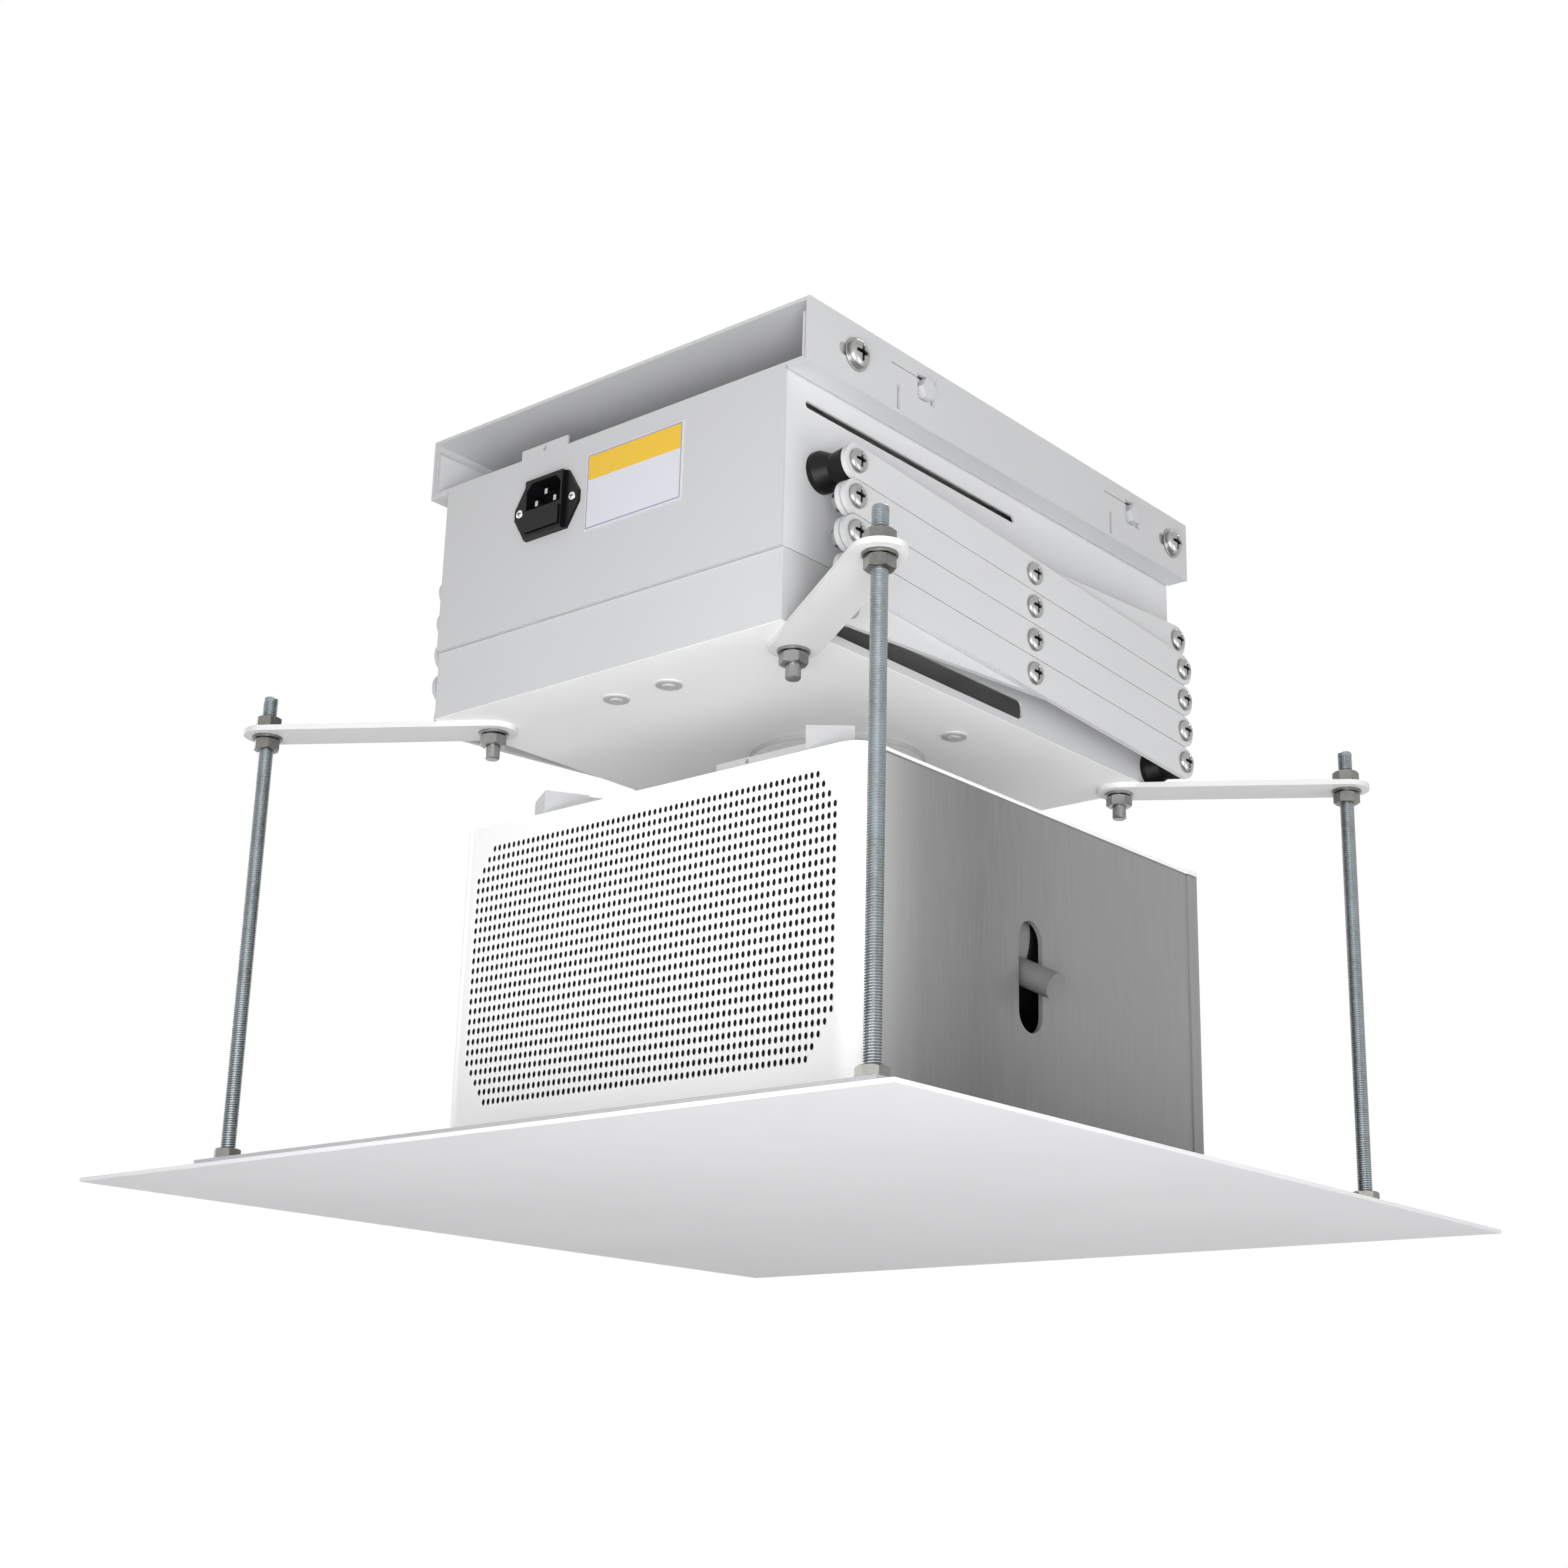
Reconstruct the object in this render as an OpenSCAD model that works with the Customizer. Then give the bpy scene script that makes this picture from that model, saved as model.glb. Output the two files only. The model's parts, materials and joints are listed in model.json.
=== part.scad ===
// Motorized scissor lift that hangs a projector and its ceiling trim panel, shown folded up.
// X runs along the scissor arms, Y across the lift and Z up.
// The origin is the middle of the ceiling channel's top face, so everything hangs below it.

/* [Ceiling channel] */
// Length of the channel and of the motor housing along X
channel_l = 356; // [350:1:390]
// Width of the channel across Y
channel_w = 278; // [270:1:300]
// Height of the channel's side flanges
channel_h = 36; // [34:1:48]
// Sheet thickness of the channel
channel_sheet = 2; // [1.5:0.5:3]
// Spacing of the ceiling holes along X
ceiling_hole_span_x = 160; // [120:1:240]
// Spacing of the ceiling holes along Y
ceiling_hole_span_y = 180; // [140:1:220]
// Diameter of the ceiling holes
ceiling_hole_d = 8.5; // [6.5:0.5:10.5]

/* [Motor housing] */
// Width of the motor housing across Y
housing_w = 249; // [244:1:252]
// Height of the motor housing
housing_h = 98; // [92:1:110]
// Sheet thickness of the housing and the platform tray
housing_sheet = 1.5; // [1:0.25:2]
// Thickness of the housing cover
cover_t = 1.2; // [0.8:0.1:2]

/* [Scissor] */
// Width of a scissor arm
arm_w = 18.4; // [17:0.1:19]
// Thickness of a scissor arm
arm_t = 3; // [2.5:0.5:4]
// Distance between the left and right pivot rows, measured level
pivot_span = 304; // [292:1:308]
// Distance from the housing wall to the inner arms
arm_standoff = 17.5; // [16:0.5:24]
// Angle that the scissor opens from its folded rest
lift_angle = 58.5; // [45:0.5:60]
// Diameter of the pivot screws
pivot_screw_d = 6; // [5:0.5:7]
// Diameter of the pivot screw heads
pivot_head_d = 12.5; // [11:0.5:13]

/* [Drive] */
// Diameter of the lead screw
lead_screw_d = 12; // [10:1:14]
// Diameter of the two guide rods
guide_rod_d = 10; // [8:1:12]
// Diameter of the carriage and slider axles
axle_d = 10; // [9:0.5:10.5]
// Diameter of the motor can
motor_d = 54; // [40:1:58]
// Length of the motor can
motor_can_l = 62; // [50:1:80]

/* [Platform] */
// Width of the platform tray across Y
tray_w = 249; // [244:1:250]
// Height of the platform tray
tray_h = 38.5; // [38:0.5:46]
// Length of the platform tray along X
tray_l = 341; // [335:1:346]
// Width of an outrigger bar
outrigger_w = 26; // [20:1:30]
// Thickness of an outrigger bar
outrigger_t = 3; // [2.5:0.5:4]

/* [Hanging trim] */
// Side of the square trim panel
panel_size = 540; // [500:5:620]
// Thickness of the trim panel
panel_t = 2; // [1.5:0.5:4]
// Side of the square trim frame that stands on the panel
frame_size = 458; // [450:2:490]
// Height of the trim frame
frame_h = 11.5; // [11:0.5:16]
// Width of the trim frame's top flange
frame_flange_w = 26; // [24:1:40]
// Diameter of the threaded rods and the outrigger bolts
rod_d = 8; // [6:1:9]
// Length of the threaded rods
rod_l = 268; // [262:1:320]

/* [Projector] */
// Length of the projector casing along X, without its lens panel
casing_l = 293; // [285:1:300]
// Depth of the lens panel along X
lens_panel_l = 14; // [10:1:20]
// Width of the projector casing across Y
casing_w = 283.5; // [275:0.5:290]
// Height of the projector casing
casing_h = 174.5; // [170:0.5:185]
// Drop from the tray's floor to the casing's top
casing_drop = 56; // [50:1:62]
// Radius of the casing's upright front corners
casing_corner_r = 14; // [8:1:14]
// Wall of the casing
casing_wall = 2.5; // [2:0.5:3]

/* [Power inlet] */
// Distance between the inlet's two screws
inlet_screw_span = 40; // [38:0.5:42]
// Width of the inlet's body
inlet_body_w = 28.5; // [28:0.5:29.5]

/* [Clearances] */
// Radial clearance of a shaft that turns or slides in a bore
running_clearance = 0.05; // [0.02:0.01:0.1]
// Radial clearance of a fastener in its hole
hole_clearance = 0.05; // [0.03:0.01:0.1]
// Side play between neighbouring moving faces
side_play = 0.3; // [0.2:0.05:0.5]

/* [Hidden] */
$fn = 64;
// Overrun of every cut past the face that it leaves
cut = 1;

// Gap that keeps a washer, its nut and its screw head apart
seat_gap = 0.04;

// Channel and housing levels
channel_x = channel_l / 2;
channel_y = channel_w / 2;
lip_gap = 1;
lip_edge_y = housing_w / 2 + lip_gap;
lip_top_z = -channel_h + channel_sheet;
flange_gap = 0.5;
housing_x = channel_x;
housing_y = housing_w / 2;
housing_top_z = lip_top_z + housing_sheet;
housing_bottom_z = housing_top_z - housing_h;
housing_floor_z = housing_bottom_z + housing_sheet;
hanger_y = channel_y - channel_sheet - flange_gap;
hanger_gap = 6;
hanger_top_z = -channel_sheet - hanger_gap;

// Channel bolts, their slots and washers
channel_bolt_d = 6;
channel_bolt_head_d = 15;
channel_bolt_head_h = 4.3;
channel_bolt_left_inset = 37;
channel_bolt_right_inset = 18;
channel_bolt_xs = [channel_bolt_left_inset - channel_x, channel_x - channel_bolt_right_inset];
channel_bolt_z = -channel_h / 2;
channel_slot_h = 7;
channel_slot_l = 18;
channel_slot_shift = 4;
washer_d = 18;
washer_t = 1.2;
channel_nut_af = 10;
channel_nut_h = 5;
channel_bolt_tip = 2;

// Hook bolts that locate the housing in the channel, with the slits beside them
hook_bolt_d = 6;
hook_head_af = 10.5;
hook_head_h = 5;
hook_bolt_left_inset = 96;
hook_bolt_right_inset = 60;
hook_bolt_xs = [hook_bolt_left_inset - channel_x, channel_x - hook_bolt_right_inset];
hook_bolt_drop = 14;
hook_opening_w = 15;
hook_opening_h = 14.5;
level_slit_w = 0.8;
level_slit_reach = 30;
level_slit_rise = 4.5;
upright_slit_w = 2.4;
upright_slit_shift = 23.5;
upright_slit_top = 20;
hook_nut_af = 10;
hook_nut_h = 5;

// Pivot rows and scissor geometry
arm_gap = 0.6;
pivot_pitch = arm_w + arm_gap;
stage_count = 4;
tray_gap = 0.5;
tray_pivot_drop = 28;
span_mid_x = 2;
pivot_left_x = span_mid_x - pivot_span / 2;
pivot_right_x = span_mid_x + pivot_span / 2;
pivot_bottom_z = housing_bottom_z - tray_gap - tray_pivot_drop;
pivot_top_z = pivot_bottom_z + stage_count * pivot_pitch;
arm_l = norm([pivot_span, pivot_pitch]);
rest_angle = atan2(pivot_pitch, pivot_span);
pivot_left_end_x = pivot_right_x - arm_l * cos(rest_angle + lift_angle);

// Layers of the scissor, counted outwards from the housing wall
layer_gap = 0.6;
inner_arm_y = housing_y + arm_standoff;
outer_arm_y = inner_arm_y + arm_t + layer_gap;
inner_seat_y = inner_arm_y - side_play;
outer_seat_y = outer_arm_y - side_play;
inner_head_y = inner_arm_y + arm_t + side_play;
outer_head_y = outer_arm_y + arm_t + side_play;
pivot_nut_af = 10;
pivot_nut_h = 5;
pivot_nut_grip = 0.5;

// Crowned screw head with a cross recess, in shares of the head's size
pivot_head_h = 3.2;
head_edge_share = 0.45;
head_crown_share = 0.62;
recess_arm_share = 0.62;
recess_slot_share = 0.2;
recess_depth_share = 0.55;

// Carriage, slider, their axles and the waisted spools on them
carriage_t = 16;
carriage_h = 24;
carriage_end_gap = 3.5;
slider_t = 12;
slider_h = 10;
slider_end_gap = 3.5;
axle_slot_play = 0.5;
axle_slot_end = 1;
axle_screw_depth = 22;
spool_flange_d = 22;
lower_flange_d = min(spool_flange_d, 2 * (tray_h - tray_pivot_drop - side_play));
spool_neck_d = 15;
spool_end_d = 17.4;
spool_flange_t = 3;
spool_end_t = 2;
spool_neck_share = 0.5;
flag_w = 7;
flag_rise = 26;
flag_inset = 0.2;
flag_y = housing_y - housing_sheet - carriage_end_gap - flag_inset;
drive_nut_barrel_d = 18;
drive_nut_flange_d = 28;
drive_nut_flange_t = 4;

// Thin sight slot that runs above the carriage slot
sight_slot_h = 4;
sight_slot_drop = 16.5;
sight_slot_inset = 18;
sight_slot_end_gap = 5;
sight_slot_z = housing_top_z - sight_slot_drop;

// Screw bearings and guide rod posts on the housing floor
bearing_t = 10;
bearing_gap = 6;
bearing_w = 30;
bearing_rise = 15;
guide_rod_y = 90;
guide_post_w = 20;
guide_post_rise = 10;
bearing_left_x = pivot_left_x - carriage_t / 2 - bearing_gap - bearing_t;
nut_reach = carriage_t / 2 + drive_nut_flange_t;
bearing_right_x = pivot_left_end_x + nut_reach + bearing_gap / 2;

// Coupling, gear motor and bracket
coupling_d = 22;
coupling_l = 14;
coupling_gap = 2;
motor_shaft_d = 10;
motor_shaft_depth = 12;
shaft_end_gap = 0.4;
coupling_x = bearing_right_x + bearing_t + coupling_gap;
coupling_mid_x = coupling_x + coupling_l / 2;
bracket_t = 4;
bracket_x = coupling_x + coupling_l + coupling_gap;
gearbox_x = bracket_x + bracket_t;
gearbox_l = 28;
gearbox_side = 64;
motor_boss_d = 20;
motor_cap_d = 40;
motor_cap_l = 4;
bracket_side_gap = 2;
bracket_foot_l = 36;
bracket_w = gearbox_side + 2 * bracket_side_gap + 2 * bracket_t;

// Control board and its parts
board_l = 100;
board_w = 50;
board_t = 1.6;
board_standoff_h = 4.4;
board_standoff_d = 6;
board_edge = 5;
board_end_gap = 10;
board_side_gap = 8;
transformer_l = 36;
transformer_w = 30;
transformer_h = 24;
relay_l = 19;
relay_w = 15;
relay_h = 15;
capacitor_d = 12;
capacitor_h = 18;
terminal_l = 40;
terminal_w = 8;
terminal_h = 10;

// Limit switches that the carriage's flag meets at each end of its travel
switch_l = 14;
switch_w = 18.5;
switch_h = 12;
switch_gap = 0.8;
switch_x_left = pivot_left_x - carriage_t / 2 - switch_gap - switch_l;
switch_x_right = pivot_left_end_x + carriage_t / 2 + switch_gap;

// Power inlet on the left end of the housing
inlet_y = 41.5;
inlet_drop = 33.5;
inlet_z = housing_top_z - inlet_drop;
inlet_face_t = 4.5;
inlet_ear_t = 2;
inlet_plate_edge = 1.5;
inlet_plate_h = 33.5;
inlet_ear_reach = 4.3;
inlet_ear_h = 6;
inlet_body_h = 31.5;
inlet_body_l = 16;
inlet_body_wall = 1.25;
inlet_fit = 0.1;
socket_w = inlet_body_w - 2 * inlet_body_wall;
socket_h = 15.5;
socket_rise = 6.75;
socket_chamfer = 4;
socket_depth = 13;
inlet_pin_w = 2;
inlet_pin_h = 3;
inlet_pin_pitch = 7;
inlet_pin_step = 5.5;
inlet_pin_drop = 4;
inlet_pin_recess = 2;
inlet_pin_tail = 1.5;
inlet_screw_d = 3.5;
inlet_screw_head_d = 4.8;
inlet_screw_head_h = 1.2;
inlet_screw_l = 12;
fuse_bay_w = inlet_body_w - 2 * inlet_body_wall;
fuse_bay_h = 11;
fuse_bay_drop = 8.8;
fuse_bay_depth = 12;
drawer_play = 0.2;
drawer_end_gap = 0.5;
drawer_lip = 1;
fuse_d = 5;
fuse_l = 20;
fuse_play = 0.1;
drawer_wall = 1.6;

// Two-tone label plate, without lettering, beside the inlet
label_w = 69.5;
label_h = 44;
label_t = 0.5;
label_right_y = 13;
label_drop = 11.5;

// Earthing tab that stands on the housing's end wall
tab_w = 35;
tab_h = 5.5;
tab_left_y = 30;
tab_hole_d = 3;

// Platform tray
tray_x0 = -housing_x + 2 * flange_gap + lip_gap;
tray_x1 = tray_x0 + tray_l;
tray_y = tray_w / 2;
tray_top_z = housing_bottom_z - tray_gap;
tray_bottom_z = tray_top_z - tray_h;
tray_floor_z = tray_bottom_z + housing_sheet;
tray_corner_r = 9;
tray_slot_corner_r = 4.2;
tray_slot_extra = 9;
dimple_d = 14;
dimple_h = 1.2;
dimple_cap_d = 8;
dimple_end_inset = 34;
dimple_side_y = 19;
dimple_mid_x = 12;
dimple_mid_inset = 36;

// Outrigger bars, their bolts and the rod nuts
outrigger_bolt_x = 147;
outrigger_bolt_y = 108;
rod_edge = 12;
rod_xy = frame_size / 2 - rod_edge;
outrigger_dx = rod_xy - outrigger_bolt_x;
outrigger_dy = rod_xy - outrigger_bolt_y;
outrigger_span = norm([outrigger_dx, outrigger_dy]);
outrigger_turn = atan2(outrigger_dy, outrigger_dx);
outrigger_bottom_z = tray_bottom_z - outrigger_t;
rod_nut_af_share = 1.625;
rod_nut_h_share = 0.8;
rod_washer_d_share = 2.1;
rod_washer_t = 1.6;
rod_nut_af = rod_d * rod_nut_af_share;
rod_nut_h = rod_d * rod_nut_h_share;
rod_washer_d = rod_d * rod_washer_d_share;
bolt_head_d = 16;
bolt_head_h = 2.6;
bolt_tip = 7.5;
rod_over = 20;
rod_top_z = tray_bottom_z + rod_over;
rod_bottom_z = rod_top_z - rod_l;

// Trim frame and panel, which hang on the rods
rod_end_gap = 2.5;
panel_top_z = rod_bottom_z - rod_end_gap;
frame_sheet = 1.5;
frame_top_z = panel_top_z + frame_h;
frame_half = frame_size / 2;
frame_slot_y = -169;
frame_slot_l = 9;
frame_slot_h = 4;

// Projector casing
casing_mid_x = 8;
casing_mid_y = -9.5;
casing_x0 = casing_mid_x - (casing_l + lens_panel_l) / 2;
casing_x1 = casing_x0 + casing_l;
casing_y0 = casing_mid_y - casing_w / 2;
casing_y1 = casing_mid_y + casing_w / 2;
casing_top_z = tray_bottom_z - casing_drop;
casing_bottom_z = casing_top_z - casing_h;
lens_panel_rim = 1;
lens_panel_corner_r = 6;

// Grille in the casing's front face
grille_side_inset = 14.2;
grille_far_inset = 14.2;
grille_top_inset = 9;
grille_bottom_inset = 16.5;
grille_corner_r = 15;
grille_fit = 0.1;
grille_tab_h = 4;
grille_tab_t = 1.5;
grille_tab_inset = 18;

// Lens, focus ring and the slot that its lever moves in
lens_inset_y = 50;
lens_drop = 65.5;
lens_y = casing_y0 + lens_inset_y;
lens_z = casing_top_z - lens_drop;
lens_barrel_d = 72;
lens_wall = 5;
lens_barrel_l = 219;
lens_collar_d = 80;
lens_collar_l = 8;
lens_flange_d = 92;
lens_flange_l = 5;
lens_window_d = 76;
lens_glass_t = 3;
lens_glass_bulge = 4;
lens_glass_inset = 8;
focus_slot_x = -6.65;
focus_slot_w = 21;
focus_slot_h = 58;
focus_slot_drop = 90.5;
focus_ring_l = 16;
focus_ring_wall = 8;
lever_d = 14;
lever_angle = 26;
lever_out = 17;
lens_tip_x = casing_x1 + lens_panel_l - casing_wall;

// Fan behind the grille
fan_side = 92;
fan_l = 25;
fan_bore_d = 86;
fan_y = -20;
fan_drop = 86.5;
fan_z = casing_top_z - fan_drop;
fan_base_d = 28;
fan_base_t = 3;
fan_strut_w = 4;
fan_pin_d = 4;
fan_hub_d = 26;
fan_tip_gap = 3;
fan_end_gap = 3;
fan_blade_count = 7;
fan_blade_t = 1.6;
fan_blade_chord = 18;
fan_blade_pitch = 38;

// Projector mount between the tray and the casing
mount_plate_d = 100;
mount_plate_t = 3;
mount_column_d = 34;
mount_arm_w = 22;
mount_arm_t = 3;
mount_foot_h = 13.5;
mount_foot_l = 24;
mount_foot_w = 24;
foot_relief_w = 14;
foot_relief_l = 5;
foot_relief_h = 1.8;
mount_hub_d = 60;
foot_front_inset = 18;
foot_near_inset = 34.5;
foot_far_inset = 61;
foot_rear_inset = 50;
foot_rear_near_inset = 56;
foot_rear_far_inset = 52;
foot_strip_inset = 1;
foot_strip_start = 2;
foot_strip_l = 58;
foot_strip_w = 9;
foot_strip_t = 4;
foot_strip_hole_d = 2.4;
foot_strip_hole_share = 0.65;
mount_bolt_ring_d = 76;
mount_bolt_d = 5;
mount_bolt_head_d = 10;
mount_bolt_head_h = 2.4;
foot_screw_d = 4;
foot_screw_head_d = 7.2;
foot_screw_head_h = 2.6;
foot_screw_tip = 4;
mount_hub_lip = 1;
mount_foot_lip = 0.5;
mount_arm_top_z = casing_top_z + mount_foot_h - mount_foot_lip;
mount_foot_top_z = casing_top_z + mount_foot_h;
mount_hub_bottom_z = mount_arm_top_z - mount_arm_t - mount_hub_lip;
foot_front_x = casing_x0 + foot_front_inset;
foot_rear_x = casing_x1 - foot_rear_inset;
foot_places = [
    [foot_front_x, casing_y0 + foot_near_inset],
    [foot_front_x, casing_y1 - foot_far_inset],
    [foot_rear_x, casing_y0 + foot_rear_near_inset],
    [foot_rear_x, casing_y1 - foot_rear_far_inset]
];
foot_strip_x = casing_x0 + foot_strip_inset;
foot_strip_y = foot_places[0][1] + foot_strip_start;

// Colours
powder_white = "#e4e5e6";
zinc = "#b9bfc2";
steel = "#c9cccd";
black_nylon = "#1d1d1f";
brass_yellow = "#c9a24a";

// Shared shapes

// Block from its lowest corner to its highest corner
module block(low, high) {
    translate(low) cube(high - low);
}

// Round bar along X from x0 to x1
module bar_x(y, z, r, x0, x1) {
    translate([x0, y, z]) rotate([0, 90, 0]) cylinder(r = r, h = x1 - x0);
}

// Round bar along Y from y0 to y1
module bar_y(x, z, r, y0, y1) {
    translate([x, y0, z]) rotate([-90, 0, 0]) cylinder(r = r, h = y1 - y0);
}

// Round bar along Z from z0 to z1
module bar_z(x, y, r, z0, z1) {
    translate([x, y, z0]) cylinder(r = r, h = z1 - z0);
}

// Flat outline drawn in Y and Z, made into a plate from x0 to x1
module plate_x(x0, x1) {
    translate([x0, 0, 0]) rotate([90, 0, 90]) linear_extrude(x1 - x0) children();
}

// Flat outline drawn in X and Z, made into a plate from y0 to y1
module plate_y(y0, y1) {
    translate([0, y1, 0]) rotate([90, 0, 0]) linear_extrude(y1 - y0) children();
}

// The same pieces on both sides of the lift
module both_sides() {
    children();
    mirror([0, 1, 0]) children();
}

// The same piece at all four corners
module four_corners() {
    both_sides() {
        children();
        mirror([1, 0, 0]) children();
    }
}

// Flat rectangle from one corner to the other, with its corners rounded
module round_rect(low, high, r) {
    translate([low[0] + r, low[1]]) square([high[0] - low[0] - 2 * r, high[1] - low[1]]);
    translate([low[0], low[1] + r]) square([high[0] - low[0], high[1] - low[1] - 2 * r]);
    for (x = [low[0] + r, high[0] - r], y = [low[1] + r, high[1] - r])
        translate([x, y]) circle(r);
}

// Flat upright slot about the origin with round ends
module upright_slot(w, h) {
    translate([-w / 2, -(h - w) / 2]) square([w, h - w]);
    for (side = [-1, 1])
        translate([0, side * (h - w) / 2]) circle(d = w);
}

// Six-sided nut along Y on the -Y side
module nut_y(x, z, across, bore_d, y0, y1) {
    difference() {
        translate([x, y0, z]) rotate([-90, 0, 0]) cylinder(d = across / cos(30), h = y1 - y0, $fn = 6);
        bar_y(x, z, bore_d / 2 + hole_clearance, y0 - cut, y1 + cut);
    }
}

// Six-sided nut along Z
module nut_z(x, y, across, bore_d, z0, z1) {
    difference() {
        translate([x, y, z0]) cylinder(d = across / cos(30), h = z1 - z0, $fn = 6);
        bar_z(x, y, bore_d / 2 + hole_clearance, z0 - cut, z1 + cut);
    }
}

// Washer along Z
module washer_z(x, y, outer_d, bore_d, z0, z1) {
    difference() {
        bar_z(x, y, outer_d / 2, z0, z1);
        bar_z(x, y, bore_d / 2 + hole_clearance, z0 - cut, z1 + cut);
    }
}

// Crowned screw head on the -Y side with a cross recess; its seat is at seat_y
module cross_head(x, z, head_d, head_h, seat_y) {
    edge_h = head_h * head_edge_share;
    arm = head_d * recess_arm_share / 2;
    slot = head_d * recess_slot_share / 2;
    recess = head_h * recess_depth_share;
    difference() {
        union() {
            bar_y(x, z, head_d / 2, seat_y - edge_h, seat_y);
            translate([x, seat_y - edge_h, z]) rotate([90, 0, 0])
                cylinder(d1 = head_d, d2 = head_d * head_crown_share, h = head_h - edge_h);
        }
        block([x - arm, seat_y - head_h - cut, z - slot], [x + arm, seat_y - head_h + recess, z + slot]);
        block([x - slot, seat_y - head_h - cut, z - arm], [x + slot, seat_y - head_h + recess, z + arm]);
    }
}

// Pivot screw on the -Y side: the head seats at seat_y and the shank runs in to tip_y
module pivot_screw(x, z, seat_y, tip_y) {
    cross_head(x, z, pivot_head_d, pivot_head_h, seat_y);
    bar_y(x, z, pivot_screw_d / 2, seat_y, tip_y);
}

// Waisted spool on the -Y side from the wall face to the arm, with its flange at the wall
module spool(x, z, wall_y, arm_y, bore_d, flange_d) {
    spool_l = arm_y - wall_y;
    bore_r = bore_d / 2 + running_clearance;
    translate([x, -wall_y, z]) rotate([90, 0, 0]) rotate_extrude()
        polygon([
            [bore_r, 0],
            [flange_d / 2, 0],
            [flange_d / 2, spool_flange_t],
            [spool_neck_d / 2, spool_l * spool_neck_share],
            [spool_end_d / 2, spool_l - spool_end_t],
            [spool_end_d / 2, spool_l],
            [bore_r, spool_l]
        ]);
}

// Slot along X with rounded ends, cut through the -Y wall between y0 and y1
module axle_slot(x0, x1, z, r, y0, y1) {
    bar_y(x0, z, r, y0, y1);
    bar_y(x1, z, r, y0, y1);
    block([x0, y0, z - r], [x1, y1, z + r]);
}

// Ceiling channel and its fasteners

module ceiling_channel() {
    flange_out = -channel_y - cut;
    flange_in = -channel_y + channel_sheet + cut;
    color(powder_white) difference() {
        union() {
            block([-channel_x, -channel_y, -channel_sheet], [channel_x, channel_y, 0]);
            both_sides() {
                block([-channel_x, -channel_y, -channel_h], [channel_x, -channel_y + channel_sheet, 0]);
                block([-channel_x, -channel_y, -channel_h], [channel_x, -lip_edge_y, lip_top_z]);
            }
        }
        four_corners()
            bar_z(ceiling_hole_span_x / 2, ceiling_hole_span_y / 2, ceiling_hole_d / 2,
                -channel_sheet - cut, cut);
        both_sides() {
            for (x = channel_bolt_xs)
                translate([x - channel_slot_shift, 0, 0])
                    axle_slot(-(channel_slot_l - channel_slot_h) / 2, (channel_slot_l - channel_slot_h) / 2,
                        channel_bolt_z, channel_slot_h / 2, flange_out, flange_in);
            for (x = hook_bolt_xs)
                hook_cutouts(x, flange_out, flange_in);
        }
    }
}

// Opening for a hook bolt, with the level slit and the upright slit beside it
module hook_cutouts(x, y0, y1) {
    z = -hook_bolt_drop;
    block([x - hook_opening_w / 2, y0, z - hook_opening_h / 2],
        [x + hook_opening_w / 2, y1, z + hook_opening_h / 2]);
    level_z = z + level_slit_rise;
    upright_x = x - upright_slit_shift;
    block([x - level_slit_reach, y0, level_z - level_slit_w / 2], [x, y1, level_z + level_slit_w / 2]);
    block([upright_x - upright_slit_w / 2, y0, lip_top_z],
        [upright_x + upright_slit_w / 2, y1, -upright_slit_top]);
}

module channel_bolts() {
    washer_out = -channel_y - washer_t;
    nut_in = -hanger_y + housing_sheet;
    color(steel) both_sides() for (x = channel_bolt_xs) {
        cross_head(x, channel_bolt_z, channel_bolt_head_d, channel_bolt_head_h, washer_out);
        bar_y(x, channel_bolt_z, channel_bolt_d / 2, washer_out, nut_in + channel_nut_h + channel_bolt_tip);
        difference() {
            bar_y(x, channel_bolt_z, washer_d / 2, washer_out + seat_gap, -channel_y);
            bar_y(x, channel_bolt_z, channel_bolt_d / 2 + hole_clearance,
                washer_out - cut, -channel_y + cut);
        }
        nut_y(x, channel_bolt_z, channel_nut_af, channel_bolt_d, nut_in, nut_in + channel_nut_h);
    }
}

module hook_bolts() {
    nut_in = -hanger_y + housing_sheet;
    color(powder_white) both_sides() for (x = hook_bolt_xs) {
        translate([x, -hanger_y - hook_head_h, -hook_bolt_drop]) rotate([-90, 0, 0])
            cylinder(d = hook_head_af / cos(30), h = hook_head_h, $fn = 6);
        bar_y(x, -hook_bolt_drop, hook_bolt_d / 2, -hanger_y, nut_in + hook_nut_h + channel_bolt_tip);
        nut_y(x, -hook_bolt_drop, hook_nut_af, hook_bolt_d, nut_in, nut_in + hook_nut_h);
    }
}

// Motor housing

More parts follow.
